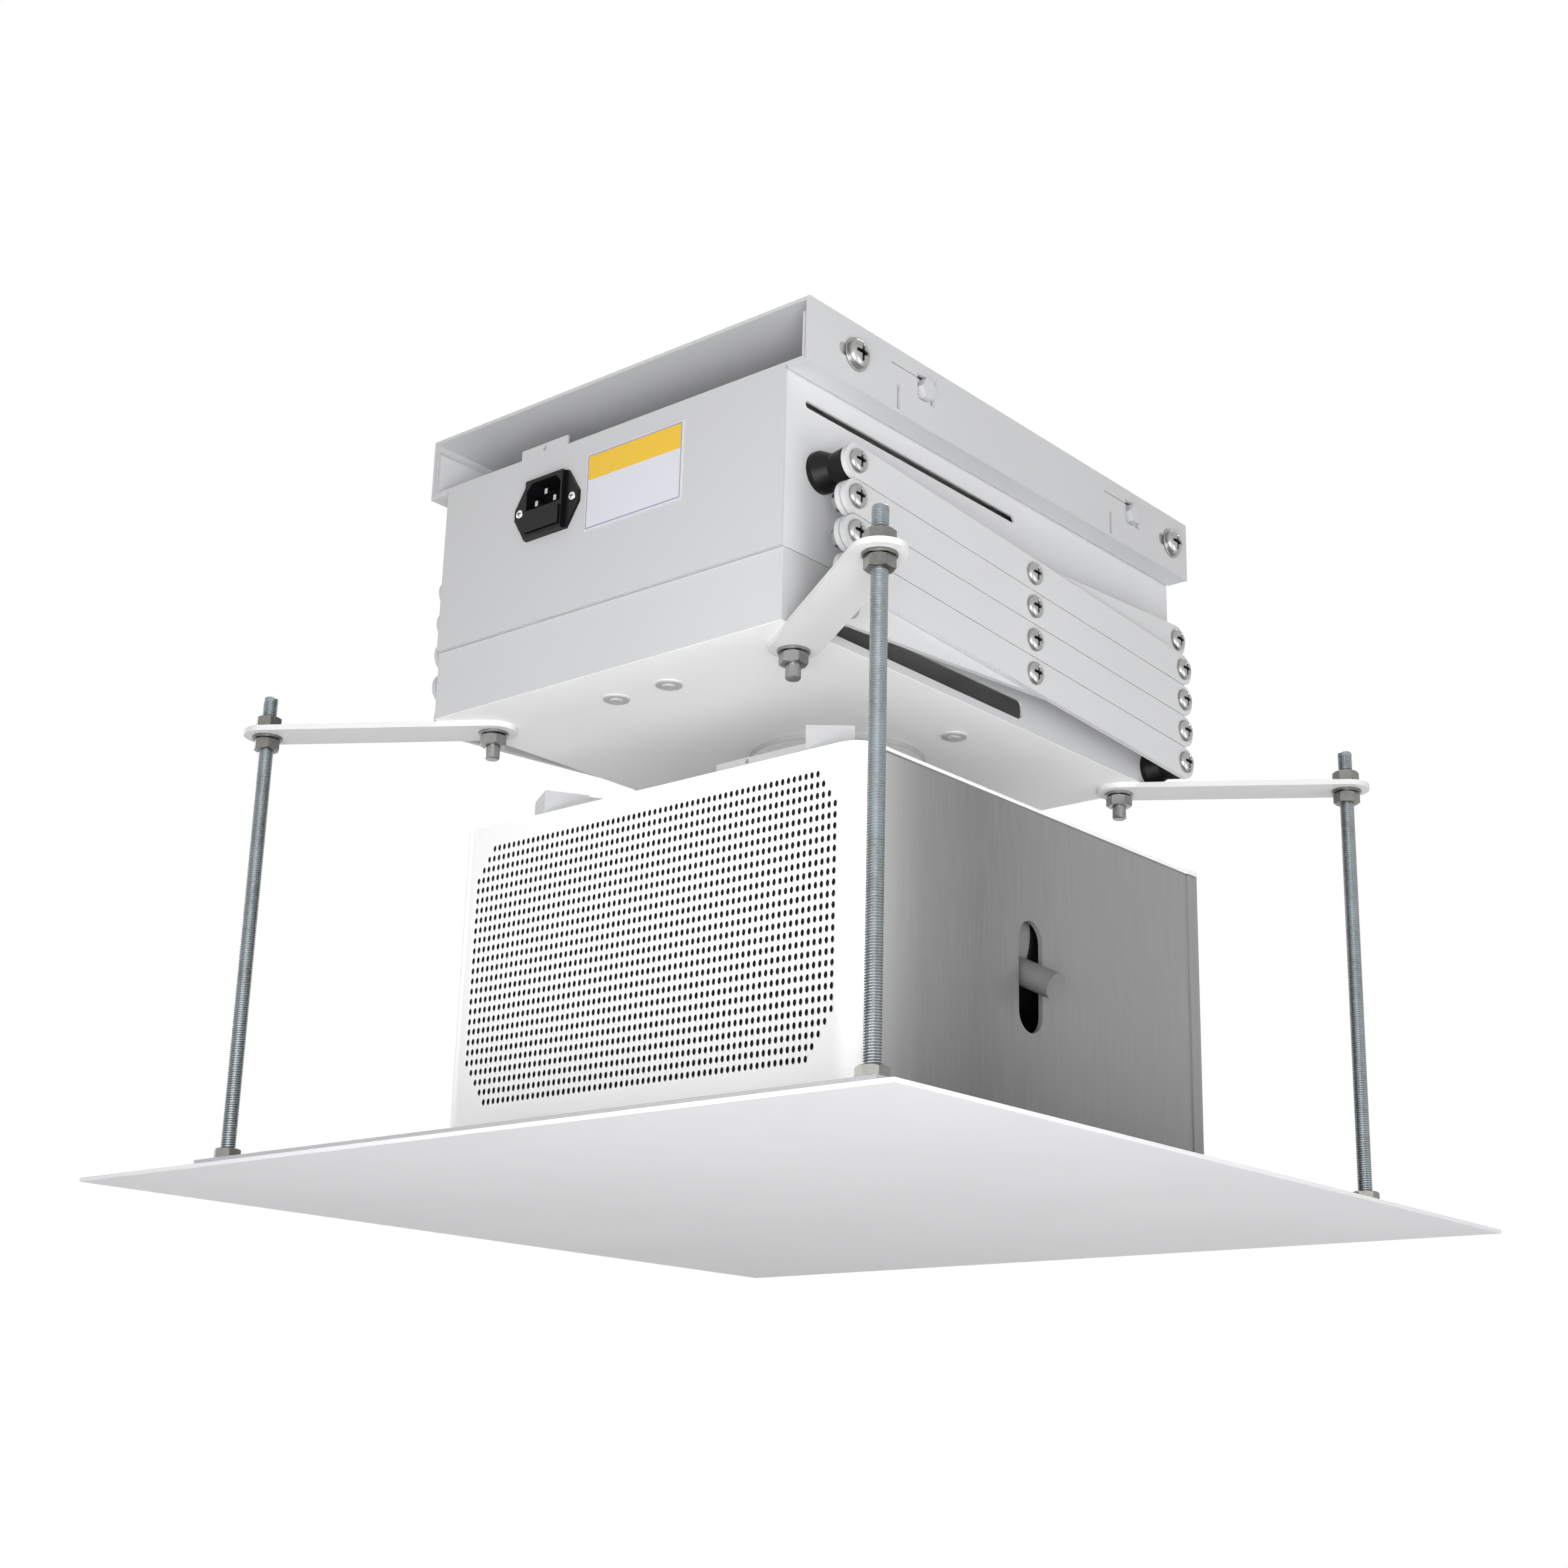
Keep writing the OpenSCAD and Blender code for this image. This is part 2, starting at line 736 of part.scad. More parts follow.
module motor_housing() {
    wall_out = -housing_y - cut;
    wall_in = -housing_y + housing_sheet + cut;
    hanger_in = -hanger_y + housing_sheet;
    color(powder_white) difference() {
        union() {
            difference() {
                block([-housing_x, -housing_y, housing_bottom_z], [housing_x, housing_y, housing_top_z]);
                block([-housing_x + housing_sheet, -housing_y + housing_sheet, housing_floor_z],
                    [housing_x - housing_sheet, housing_y - housing_sheet, housing_top_z + cut]);
            }
            both_sides() {
                block([-housing_x, -hanger_y, lip_top_z],
                    [housing_x, -housing_y + housing_sheet, housing_top_z]);
                block([-housing_x, -hanger_y, lip_top_z], [housing_x, hanger_in, hanger_top_z]);
            }
            block([-housing_x, tab_left_y, housing_top_z - housing_sheet],
                [-housing_x + housing_sheet, tab_left_y + tab_w, housing_top_z + tab_h]);
        }
        bar_x(tab_left_y + tab_w / 2, housing_top_z + tab_h / 2, tab_hole_d / 2,
            -housing_x - cut, -housing_x + housing_sheet + cut);
        inlet_cutout();
        both_sides() {
            axle_slot(-housing_x + sight_slot_inset, pivot_left_end_x + sight_slot_end_gap,
                sight_slot_z, sight_slot_h / 2, wall_out, wall_in);
            axle_slot(pivot_left_x - axle_slot_end, pivot_left_end_x + axle_slot_end,
                pivot_top_z, axle_d / 2 + axle_slot_play, wall_out, wall_in);
            bar_y(pivot_right_x, pivot_top_z, pivot_screw_d / 2 + hole_clearance, wall_out, wall_in);
            for (x = channel_bolt_xs)
                bar_y(x, channel_bolt_z, channel_bolt_d / 2 + hole_clearance,
                    -hanger_y - cut, hanger_in + cut);
            for (x = hook_bolt_xs)
                bar_y(x, -hook_bolt_drop, hook_bolt_d / 2 + hole_clearance,
                    -hanger_y - cut, hanger_in + cut);
        }
    }
}

// Hole in the housing's end wall for the inlet's body and its two screws
module inlet_cutout() {
    wall_x0 = -housing_x - cut;
    wall_x1 = -housing_x + housing_sheet + cut;
    block([wall_x0, inlet_y - inlet_body_w / 2 - inlet_fit, inlet_z - inlet_body_h / 2 - inlet_fit],
        [wall_x1, inlet_y + inlet_body_w / 2 + inlet_fit, inlet_z + inlet_body_h / 2 + inlet_fit]);
    for (side = [-1, 1])
        bar_x(inlet_y + side * inlet_screw_span / 2, inlet_z, inlet_screw_d / 2 + hole_clearance,
            wall_x0, wall_x1);
}

module housing_cover() {
    cover_edge = housing_sheet + flange_gap;
    color(powder_white)
        block([-housing_x + cover_edge, -lip_edge_y - channel_nut_h / 2, housing_top_z],
            [housing_x - cover_edge, lip_edge_y + channel_nut_h / 2, housing_top_z + cover_t]);
}

// Power inlet with its fuse drawer

module power_inlet() {
    face_x = -housing_x - inlet_face_t;
    back_x = -housing_x + inlet_body_l;
    color(black_nylon) difference() {
        union() {
            plate_x(-housing_x - inlet_ear_t, -housing_x) translate([inlet_y, inlet_z]) inlet_outline();
            block([face_x, inlet_y - inlet_body_w / 2, inlet_z - inlet_plate_h / 2],
                [-housing_x, inlet_y + inlet_body_w / 2, inlet_z + inlet_plate_h / 2]);
            block([-housing_x, inlet_y - inlet_body_w / 2, inlet_z - inlet_body_h / 2],
                [back_x, inlet_y + inlet_body_w / 2, inlet_z + inlet_body_h / 2]);
        }
        plate_x(face_x - cut, face_x + socket_depth)
            translate([inlet_y, inlet_z + socket_rise]) socket_outline();
        plate_x(face_x - cut, face_x + fuse_bay_depth)
            translate([inlet_y - fuse_bay_w / 2, inlet_z - fuse_bay_drop - fuse_bay_h / 2])
                square([fuse_bay_w, fuse_bay_h]);
        for (side = [-1, 1])
            bar_x(inlet_y + side * inlet_screw_span / 2, inlet_z, inlet_screw_d / 2 + hole_clearance,
                face_x - cut, -housing_x + cut);
        inlet_pin_blocks(face_x, back_x + cut, hole_clearance);
    }
}

// Outline of the inlet's plate: a body rectangle with a pointed ear on each side
module inlet_outline() {
    w = inlet_body_w / 2 + inlet_plate_edge;
    h = inlet_plate_h / 2;
    ear_y = inlet_screw_span / 2 + inlet_ear_reach;
    ear_z = inlet_ear_h / 2;
    polygon([
        [-ear_y, ear_z], [-ear_y, -ear_z], [-w, -h], [w, -h],
        [ear_y, -ear_z], [ear_y, ear_z], [w, h], [-w, h]
    ]);
}

// Outline of the plug socket, with its two upper corners cut off
module socket_outline() {
    w = socket_w / 2;
    h = socket_h / 2;
    c = socket_chamfer;
    polygon([[-w, -h], [w, -h], [w, h - c], [w - c, h], [c - w, h], [-w, h - c]]);
}

// The three flat pins, grown by the play given
module inlet_pin_blocks(x0, x1, play) {
    low_z = inlet_z + socket_rise - inlet_pin_drop;
    for (place = [[-inlet_pin_pitch, 0], [0, inlet_pin_step], [inlet_pin_pitch, 0]])
        block([x0, inlet_y + place[0] - inlet_pin_w / 2 - play, low_z + place[1] - inlet_pin_h / 2 - play],
            [x1, inlet_y + place[0] + inlet_pin_w / 2 + play, low_z + place[1] + inlet_pin_h / 2 + play]);
}

module inlet_pins() {
    color(steel)
        inlet_pin_blocks(-housing_x - inlet_face_t + inlet_pin_recess,
            -housing_x + inlet_body_l + inlet_pin_tail, 0);
}

module inlet_screws() {
    seat_x = -housing_x - inlet_ear_t;
    color(steel) for (side = [-1, 1]) {
        y = inlet_y + side * inlet_screw_span / 2;
        bar_x(y, inlet_z, inlet_screw_d / 2, seat_x, seat_x + inlet_screw_l);
        bar_x(y, inlet_z, inlet_screw_head_d / 2, seat_x - inlet_screw_head_h, seat_x);
    }
}

module fuse_drawer() {
    face_x = -housing_x - inlet_face_t;
    z = inlet_z - fuse_bay_drop;
    half_w = fuse_bay_w / 2 - drawer_play;
    half_h = fuse_bay_h / 2 - drawer_play;
    back_x = face_x + fuse_bay_depth - drawer_end_gap;
    pocket_w = fuse_l / 2 + fuse_play;
    color(black_nylon) difference() {
        block([face_x - drawer_lip, inlet_y - half_w, z - half_h], [back_x, inlet_y + half_w, z + half_h]);
        block([back_x - drawer_wall - fuse_d - 2 * fuse_play, inlet_y - pocket_w, z - half_h + drawer_wall],
            [back_x - drawer_wall, inlet_y + pocket_w, z + half_h + cut]);
    }
}

module fuse() {
    face_x = -housing_x - inlet_face_t;
    x = face_x + fuse_bay_depth - drawer_end_gap - drawer_wall - fuse_play - fuse_d / 2;
    z = inlet_z - fuse_bay_drop - fuse_bay_h / 2 + drawer_play + drawer_wall + fuse_play + fuse_d / 2;
    color("silver") bar_y(x, z, fuse_d / 2, inlet_y - fuse_l / 2, inlet_y + fuse_l / 2);
}

module label_plate() {
    z = housing_top_z - label_drop;
    color("khaki")
        block([-housing_x - label_t, label_right_y - label_w, z - label_h], [-housing_x, label_right_y, z]);
}

// Drive inside the housing

module gear_motor() {
    z = pivot_top_z;
    half = gearbox_side / 2;
    can_x = gearbox_x + gearbox_l;
    color("dimgray") difference() {
        union() {
            block([gearbox_x, -half, z - half], [can_x, half, z + half]);
            bar_x(0, z, motor_d / 2, can_x - gearbox_l / 2, can_x + motor_can_l);
            bar_x(0, z, motor_cap_d / 2, can_x, can_x + motor_can_l + motor_cap_l);
            bar_x(0, z, motor_boss_d / 2, bracket_x, gearbox_x + gearbox_l / 4);
        }
        bar_x(0, z, motor_shaft_d / 2 + running_clearance, bracket_x - cut, bracket_x + motor_shaft_depth);
    }
}

module motor_bracket() {
    z_top = pivot_top_z + gearbox_side / 2;
    half = bracket_w / 2;
    foot_x = gearbox_x + bracket_foot_l;
    color(zinc) difference() {
        union() {
            block([bracket_x, -half, housing_floor_z], [gearbox_x, half, z_top]);
            block([bracket_x, -half, housing_floor_z], [foot_x, half, housing_floor_z + bracket_t]);
            both_sides() plate_y(-half, -half + bracket_t)
                polygon([
                    [gearbox_x, housing_floor_z],
                    [foot_x, housing_floor_z],
                    [gearbox_x, pivot_top_z]
                ]);
        }
        bar_x(0, pivot_top_z, motor_boss_d / 2 + hole_clearance, bracket_x - cut, gearbox_x + cut);
    }
}

module screw_bearings() {
    rod_r = guide_rod_d / 2 + hole_clearance;
    screw_r = lead_screw_d / 2 + running_clearance;
    color("gray") for (x = [bearing_left_x, bearing_right_x]) {
        difference() {
            block([x, -bearing_w / 2, housing_floor_z],
                [x + bearing_t, bearing_w / 2, pivot_top_z + bearing_rise]);
            bar_x(0, pivot_top_z, screw_r, x - cut, x + bearing_t + cut);
        }
        both_sides() difference() {
            block([x, -guide_rod_y - guide_post_w / 2, housing_floor_z],
                [x + bearing_t, -guide_rod_y + guide_post_w / 2, pivot_top_z + guide_post_rise]);
            bar_x(-guide_rod_y, pivot_top_z, rod_r, x - cut, x + bearing_t + cut);
        }
    }
}

module guide_rods() {
    color(steel) both_sides()
        bar_x(-guide_rod_y, pivot_top_z, guide_rod_d / 2, bearing_left_x, bearing_right_x + bearing_t);
}

module control_board() {
    x1 = housing_x - housing_sheet - board_end_gap;
    x0 = x1 - board_l;
    y1 = housing_y - housing_sheet - board_side_gap;
    y0 = y1 - board_w;
    z0 = housing_floor_z + board_standoff_h;
    z1 = z0 + board_t;
    color("darkgreen") {
        block([x0, y0, z0], [x1, y1, z1]);
        for (x = [x0 + board_edge, x1 - board_edge], y = [y0 + board_edge, y1 - board_edge])
            bar_z(x, y, board_standoff_d / 2, housing_floor_z, z0);
        translate([x0 + 2 * board_edge, y0 + 2 * board_edge, z1])
            cube([transformer_l, transformer_w, transformer_h]);
        for (y = [y0 + board_edge, y1 - board_edge - relay_w])
            translate([x1 - 3 * board_edge - relay_l, y, z1]) cube([relay_l, relay_w, relay_h]);
        for (y = [y0 + 2 * board_edge, y0 + 2 * board_edge + capacitor_d + board_edge])
            bar_z(x0 + 3 * board_edge + transformer_l + capacitor_d / 2, y + capacitor_d / 2,
                capacitor_d / 2, z1, z1 + capacitor_h);
        translate([x0 + 2 * board_edge, y1 - terminal_w, z1]) cube([terminal_l, terminal_w, terminal_h]);
    }
}

module limit_switches() {
    wall_y = -housing_y + housing_sheet;
    color(black_nylon) for (x = [switch_x_left, switch_x_right])
        block([x, wall_y, sight_slot_z - switch_h], [x + switch_l, wall_y + switch_w, sight_slot_z]);
}

module lead_screw() {
    color(zinc) bar_x(0, pivot_top_z, lead_screw_d / 2, bearing_left_x, coupling_mid_x - shaft_end_gap);
}

module shaft_coupling() {
    color("lightslategray") {
        difference() {
            bar_x(0, pivot_top_z, coupling_d / 2, coupling_x, coupling_x + coupling_l);
            bar_x(0, pivot_top_z, lead_screw_d / 2 + hole_clearance, coupling_x - cut, coupling_mid_x);
            bar_x(0, pivot_top_z, motor_shaft_d / 2 + hole_clearance,
                coupling_x, coupling_x + coupling_l + cut);
        }
        bar_x(0, pivot_top_z, motor_shaft_d / 2,
            coupling_mid_x, bracket_x + motor_shaft_depth - shaft_end_gap);
    }
}

// Carriage that the lead screw drives

module carriage_bar() {
    x0 = pivot_left_x - carriage_t / 2;
    x1 = pivot_left_x + carriage_t / 2;
    end_y = housing_y - housing_sheet - carriage_end_gap;
    top_z = pivot_top_z + carriage_h / 2;
    color(steel) difference() {
        union() {
            block([x0, -end_y, pivot_top_z - carriage_h / 2], [x1, end_y, top_z]);
            block([x0, -flag_y, top_z], [x1, -flag_y + flag_w, top_z + flag_rise]);
            both_sides() bar_y(pivot_left_x, pivot_top_z, axle_d / 2, -outer_seat_y, -end_y);
        }
        bar_x(0, pivot_top_z, drive_nut_barrel_d / 2 + hole_clearance, x0 - cut, x1 + cut);
        both_sides() {
            bar_x(-guide_rod_y, pivot_top_z, guide_rod_d / 2 + running_clearance, x0 - cut, x1 + cut);
            bar_y(pivot_left_x, pivot_top_z, pivot_screw_d / 2 + hole_clearance,
                -outer_seat_y - cut, -outer_seat_y + axle_screw_depth);
        }
    }
}

module drive_nut() {
    x0 = pivot_left_x - carriage_t / 2;
    x1 = pivot_left_x + carriage_t / 2;
    color(brass_yellow) difference() {
        union() {
            bar_x(0, pivot_top_z, drive_nut_barrel_d / 2, x0, x1);
            bar_x(0, pivot_top_z, drive_nut_flange_d / 2, x1, x1 + drive_nut_flange_t);
        }
        bar_x(0, pivot_top_z, lead_screw_d / 2 + running_clearance,
            x0 - cut, x1 + drive_nut_flange_t + cut);
    }
}

module upper_rollers() {
    color(black_nylon) both_sides()
        spool(pivot_left_x, pivot_top_z, housing_y + side_play, outer_seat_y, axle_d, spool_flange_d);
}

module carriage_screws() {
    color(steel) both_sides()
        pivot_screw(pivot_left_x, pivot_top_z, -outer_head_y, -outer_seat_y + axle_screw_depth - cut);
}

module top_pivot_spacers() {
    color(black_nylon) both_sides()
        spool(pivot_right_x, pivot_top_z, housing_y, inner_seat_y, pivot_screw_d, spool_flange_d);
}

module top_pivot_screws() {
    nut_y0 = -housing_y + housing_sheet;
    color(steel) both_sides() {
        pivot_screw(pivot_right_x, pivot_top_z, -inner_head_y, nut_y0 + pivot_nut_h + pivot_nut_grip);
        nut_y(pivot_right_x, pivot_top_z, pivot_nut_af, pivot_screw_d, nut_y0, nut_y0 + pivot_nut_h);
    }
}

// Scissor arms

// Height of pivot row k, counted from the top
function row_z(k) = pivot_top_z - (k - 1) * pivot_pitch;

// One arm on the -Y side, round at its ends and bored at both ends and its middle;
// slope is -1 when it falls towards +X and 1 when it rises, and start_z is its left end's height
module scissor_arm(start_z, slope, face_y) {
    bore_r = pivot_screw_d / 2 + running_clearance;
    translate([pivot_left_x, -face_y, start_z]) rotate([0, -slope * rest_angle, 0]) rotate([90, 0, 0])
        linear_extrude(arm_t) difference() {
            union() {
                circle(d = arm_w);
                translate([arm_l, 0]) circle(d = arm_w);
                translate([0, -arm_w / 2]) square([arm_l, arm_w]);
            }
            for (x = [0, arm_l / 2, arm_l])
                translate([x, 0]) circle(bore_r);
        }
}

// Outer arm k falls from the left pivot k to the right pivot k + 1
module outer_arms(k) {
    color(powder_white) both_sides() scissor_arm(row_z(k), -1, outer_arm_y);
}

// Inner arm k rises from the left pivot k + 1 to the right pivot k
module inner_arms(k) {
    color(powder_white) both_sides() scissor_arm(row_z(k + 1), 1, inner_arm_y);
}

// Screw with its lock nut through an outer arm and an inner arm, on the -Y side
module arm_screw(x, z) {
    nut_y0 = -inner_seat_y;
    pivot_screw(x, z, -outer_head_y, nut_y0 + pivot_nut_h + pivot_nut_grip);
    nut_y(x, z, pivot_nut_af, pivot_screw_d, nut_y0, nut_y0 + pivot_nut_h);
}

// Screws that move with outer arm k: its middle, its left end and its right end,
// apart from the two ends that the carriage and the tray hold
module pivot_screws(k) {
    color(steel) both_sides() {
        arm_screw(span_mid_x, row_z(k) - pivot_pitch / 2);
        if (k > 1)
            arm_screw(pivot_left_x, row_z(k));
        if (k < stage_count)
            arm_screw(pivot_right_x, row_z(k + 1));
    }
}

module outer_arms_1() outer_arms(1);
module outer_arms_2() outer_arms(2);
module outer_arms_3() outer_arms(3);
module outer_arms_4() outer_arms(4);
module inner_arms_1() inner_arms(1);
module inner_arms_2() inner_arms(2);
module inner_arms_3() inner_arms(3);
module inner_arms_4() inner_arms(4);
module pivot_screws_1() pivot_screws(1);
module pivot_screws_2() pivot_screws(2);
module pivot_screws_3() pivot_screws(3);
module pivot_screws_4() pivot_screws(4);

// Slider that runs in the tray's side slots

module slider_bar() {
    end_y = tray_y - housing_sheet - slider_end_gap;
    color(steel) difference() {
        union() {
            block([pivot_left_x - slider_t / 2, -end_y, pivot_bottom_z - slider_h / 2],
                [pivot_left_x + slider_t / 2, end_y, pivot_bottom_z + slider_h / 2]);
            both_sides() bar_y(pivot_left_x, pivot_bottom_z, axle_d / 2, -inner_seat_y, -end_y);
        }
        both_sides() bar_y(pivot_left_x, pivot_bottom_z, pivot_screw_d / 2 + hole_clearance,
            -inner_seat_y - cut, -inner_seat_y + axle_screw_depth);
    }
}

module lower_rollers() {
    color(black_nylon) both_sides()
        spool(pivot_left_x, pivot_bottom_z, tray_y + side_play, inner_seat_y, axle_d, lower_flange_d);
}

module slider_screws() {
    color(steel) both_sides()
        pivot_screw(pivot_left_x, pivot_bottom_z, -inner_head_y, -inner_seat_y + axle_screw_depth - cut);
}

// Platform tray and its pivots

module platform_tray() {
    wall_out = -tray_y - cut;
    wall_in = -tray_y + housing_sheet + cut;
    slot_x0 = pivot_left_x - axle_d / 2 - axle_slot_end;
    slot_x1 = pivot_left_end_x + axle_d / 2 + tray_slot_extra;
    slot_half_h = axle_d / 2 + axle_slot_play;
    color(powder_white) difference() {
        union() {
            block([tray_x0, -tray_y, tray_bottom_z], [tray_x1 - tray_corner_r, tray_y, tray_floor_z]);
            block([tray_x0, -tray_y, tray_bottom_z], [tray_x0 + housing_sheet, tray_y, tray_top_z]);
            both_sides() {
                plate_y(-tray_y, -tray_y + housing_sheet) tray_wall_outline();
                dimple(tray_x0 + dimple_end_inset, -dimple_side_y);
                dimple(dimple_mid_x, -tray_y + dimple_mid_inset);
            }
        }
        both_sides() {
            plate_y(wall_out, wall_in)
                round_rect([slot_x0, pivot_bottom_z - slot_half_h], [slot_x1, pivot_bottom_z + slot_half_h],
                    tray_slot_corner_r);
            bar_y(pivot_right_x, pivot_bottom_z, pivot_screw_d / 2 + hole_clearance, wall_out, wall_in);
        }
        four_corners()
            bar_z(outrigger_bolt_x, outrigger_bolt_y, rod_d / 2 + hole_clearance,
                tray_bottom_z - cut, tray_floor_z + cut);
        mount_bolt_holes(tray_bottom_z - cut, tray_floor_z + cut);
    }
}

// Outline of the tray's side wall, with the two right corners rounded
module tray_wall_outline() {
    translate([tray_x0, tray_bottom_z]) square([tray_l - tray_corner_r, tray_h]);
    round_rect([tray_x0, tray_bottom_z], [tray_x1, tray_top_z], tray_corner_r);
}

// Stamped dimple under the tray's floor
module dimple(x, y) {
    bar_z(x, y, dimple_d / 2, tray_bottom_z - dimple_h, tray_bottom_z);
    bar_z(x, y, dimple_cap_d / 2, tray_bottom_z - 2 * dimple_h, tray_bottom_z - dimple_h);
}

// Holes for the bolts that hold the projector mount under the tray
module mount_bolt_holes(z0, z1) {
    for (turn = [45:90:315])
        translate([casing_mid_x, casing_mid_y, 0]) rotate(turn)
            bar_z(mount_bolt_ring_d / 2, 0, mount_bolt_d / 2 + hole_clearance, z0, z1);
}

module tray_pivot_spacers() {
    color(black_nylon) both_sides()
        spool(pivot_right_x, pivot_bottom_z, tray_y, outer_seat_y, pivot_screw_d, lower_flange_d);
}

module tray_pivot_screws() {
    nut_y0 = -tray_y + housing_sheet;
    color(steel) both_sides() {
        pivot_screw(pivot_right_x, pivot_bottom_z, -outer_head_y, nut_y0 + pivot_nut_h + pivot_nut_grip);
        nut_y(pivot_right_x, pivot_bottom_z, pivot_nut_af, pivot_screw_d, nut_y0, nut_y0 + pivot_nut_h);
    }
}

// Outriggers, rods and trim

module outrigger_arms() {
    color(powder_white) four_corners()
        translate([outrigger_bolt_x, outrigger_bolt_y, outrigger_bottom_z]) rotate(outrigger_turn)
            linear_extrude(outrigger_t) difference() {
                union() {
                    circle(d = outrigger_w);
                    translate([outrigger_span, 0]) circle(d = outrigger_w);
                    translate([0, -outrigger_w / 2]) square([outrigger_span, outrigger_w]);
                }
                circle(rod_d / 2 + hole_clearance);
                translate([outrigger_span, 0]) circle(rod_d / 2 + running_clearance);
            }
}

module outrigger_bolts() {
    washer_z0 = outrigger_bottom_z - rod_washer_t;
    nut_z1 = washer_z0 - seat_gap;
    nut_z0 = nut_z1 - rod_nut_h;
    color(steel) four_corners() {
        bar_z(outrigger_bolt_x, outrigger_bolt_y, bolt_head_d / 2,
            tray_floor_z, tray_floor_z + bolt_head_h);
        bar_z(outrigger_bolt_x, outrigger_bolt_y, rod_d / 2, nut_z0 - bolt_tip, tray_floor_z);
        washer_z(outrigger_bolt_x, outrigger_bolt_y, rod_washer_d, rod_d, washer_z0, outrigger_bottom_z);
        nut_z(outrigger_bolt_x, outrigger_bolt_y, rod_nut_af, rod_d, nut_z0, nut_z1);
    }
}

module rod_upper_nuts() {
    low_washer_z = outrigger_bottom_z - rod_washer_t;
    low_nut_z = low_washer_z - seat_gap;
    high_washer_z = tray_bottom_z + rod_washer_t;
    high_nut_z = high_washer_z + seat_gap;
    color(zinc) four_corners() {
        washer_z(rod_xy, rod_xy, rod_washer_d, rod_d, low_washer_z, outrigger_bottom_z);
        nut_z(rod_xy, rod_xy, rod_nut_af, rod_d, low_nut_z - rod_nut_h, low_nut_z);
        washer_z(rod_xy, rod_xy, rod_washer_d, rod_d, tray_bottom_z, high_washer_z);
        nut_z(rod_xy, rod_xy, rod_nut_af, rod_d, high_nut_z, high_nut_z + rod_nut_h);
    }
}

module threaded_rods() {
    color(zinc) four_corners() bar_z(rod_xy, rod_xy, rod_d / 2, rod_bottom_z, rod_top_z);
}

module rod_lower_nuts() {
    low_z = frame_top_z - frame_sheet;
    color(zinc) four_corners() {
        nut_z(rod_xy, rod_xy, rod_nut_af, rod_d, frame_top_z, frame_top_z + rod_nut_h);
        nut_z(rod_xy, rod_xy, rod_nut_af, rod_d, low_z - rod_nut_h, low_z);
    }
}

module trim_frame() {
    inner_half = frame_half - frame_sheet;
    flange_half = frame_half - frame_flange_w;
    flange_z = frame_top_z - frame_sheet;
    color(powder_white) difference() {
        block([-frame_half, -frame_half, panel_top_z], [frame_half, frame_half, frame_top_z]);
        block([-inner_half, -inner_half, panel_top_z - cut], [inner_half, inner_half, flange_z]);
        block([-flange_half, -flange_half, flange_z - cut], [flange_half, flange_half, frame_top_z + cut]);
        four_corners() bar_z(rod_xy, rod_xy, rod_d / 2 + hole_clearance, flange_z - cut, frame_top_z + cut);
        block([-frame_half - cut, frame_slot_y - frame_slot_l / 2, panel_top_z + frame_slot_h / 2],
            [-inner_half + cut, frame_slot_y + frame_slot_l / 2, panel_top_z + frame_slot_h * 3 / 2]);
    }
}

module trim_panel() {
    half = panel_size / 2;
    color("whitesmoke") block([-half, -half, panel_top_z - panel_t], [half, half, panel_top_z]);
}

// Projector and the mount that hangs it from the tray

module projector_mount() {
    color(powder_white) difference() {
        union() {
            translate([casing_mid_x, casing_mid_y, 0]) {
                bar_z(0, 0, mount_plate_d / 2, tray_bottom_z - mount_plate_t, tray_bottom_z);
                bar_z(0, 0, mount_column_d / 2, mount_arm_top_z, tray_bottom_z - mount_plate_t / 2);
                bar_z(0, 0, mount_hub_d / 2, mount_hub_bottom_z, mount_arm_top_z + mount_hub_lip);
            }
            for (place = foot_places)
                mount_arm(place);
            foot_strip();
        }
        mount_bolt_holes(tray_bottom_z - mount_plate_t - cut, tray_bottom_z + cut);
        for (place = foot_places)
            bar_z(place[0], place[1], foot_screw_d / 2 + hole_clearance,
                casing_top_z - cut, mount_foot_top_z + cut);
        bar_x(foot_strip_y + foot_strip_l * foot_strip_hole_share, casing_top_z + foot_strip_t / 2,
            foot_strip_hole_d / 2, foot_strip_x - cut, foot_strip_x + foot_strip_w + cut);
    }
}

// Flat arm from the hub to a foot, with the foot block that stands on the casing in line with it;
// a shallow relief is cut under the block's outer end
module mount_arm(place) {
    reach = place - [casing_mid_x, casing_mid_y];
    tip = norm(reach) + mount_foot_l / 2;
    translate([casing_mid_x, casing_mid_y, 0]) rotate(atan2(reach[1], reach[0])) difference() {
        union() {
            block([0, -mount_arm_w / 2, mount_arm_top_z - mount_arm_t],
                [norm(reach), mount_arm_w / 2, mount_arm_top_z]);
            block([tip - mount_foot_l, -mount_foot_w / 2, casing_top_z],
                [tip, mount_foot_w / 2, mount_foot_top_z]);
        }
        block([tip - foot_relief_l, -foot_relief_w / 2, casing_top_z - cut],
            [tip + cut, foot_relief_w / 2, casing_top_z + foot_relief_h]);
    }
}

// Thin strip that runs from the near front foot along the casing's top edge
module foot_strip() {
    block([foot_strip_x, foot_strip_y, casing_top_z],
        [foot_strip_x + foot_strip_w, foot_strip_y + foot_strip_l, casing_top_z + foot_strip_t]);
}

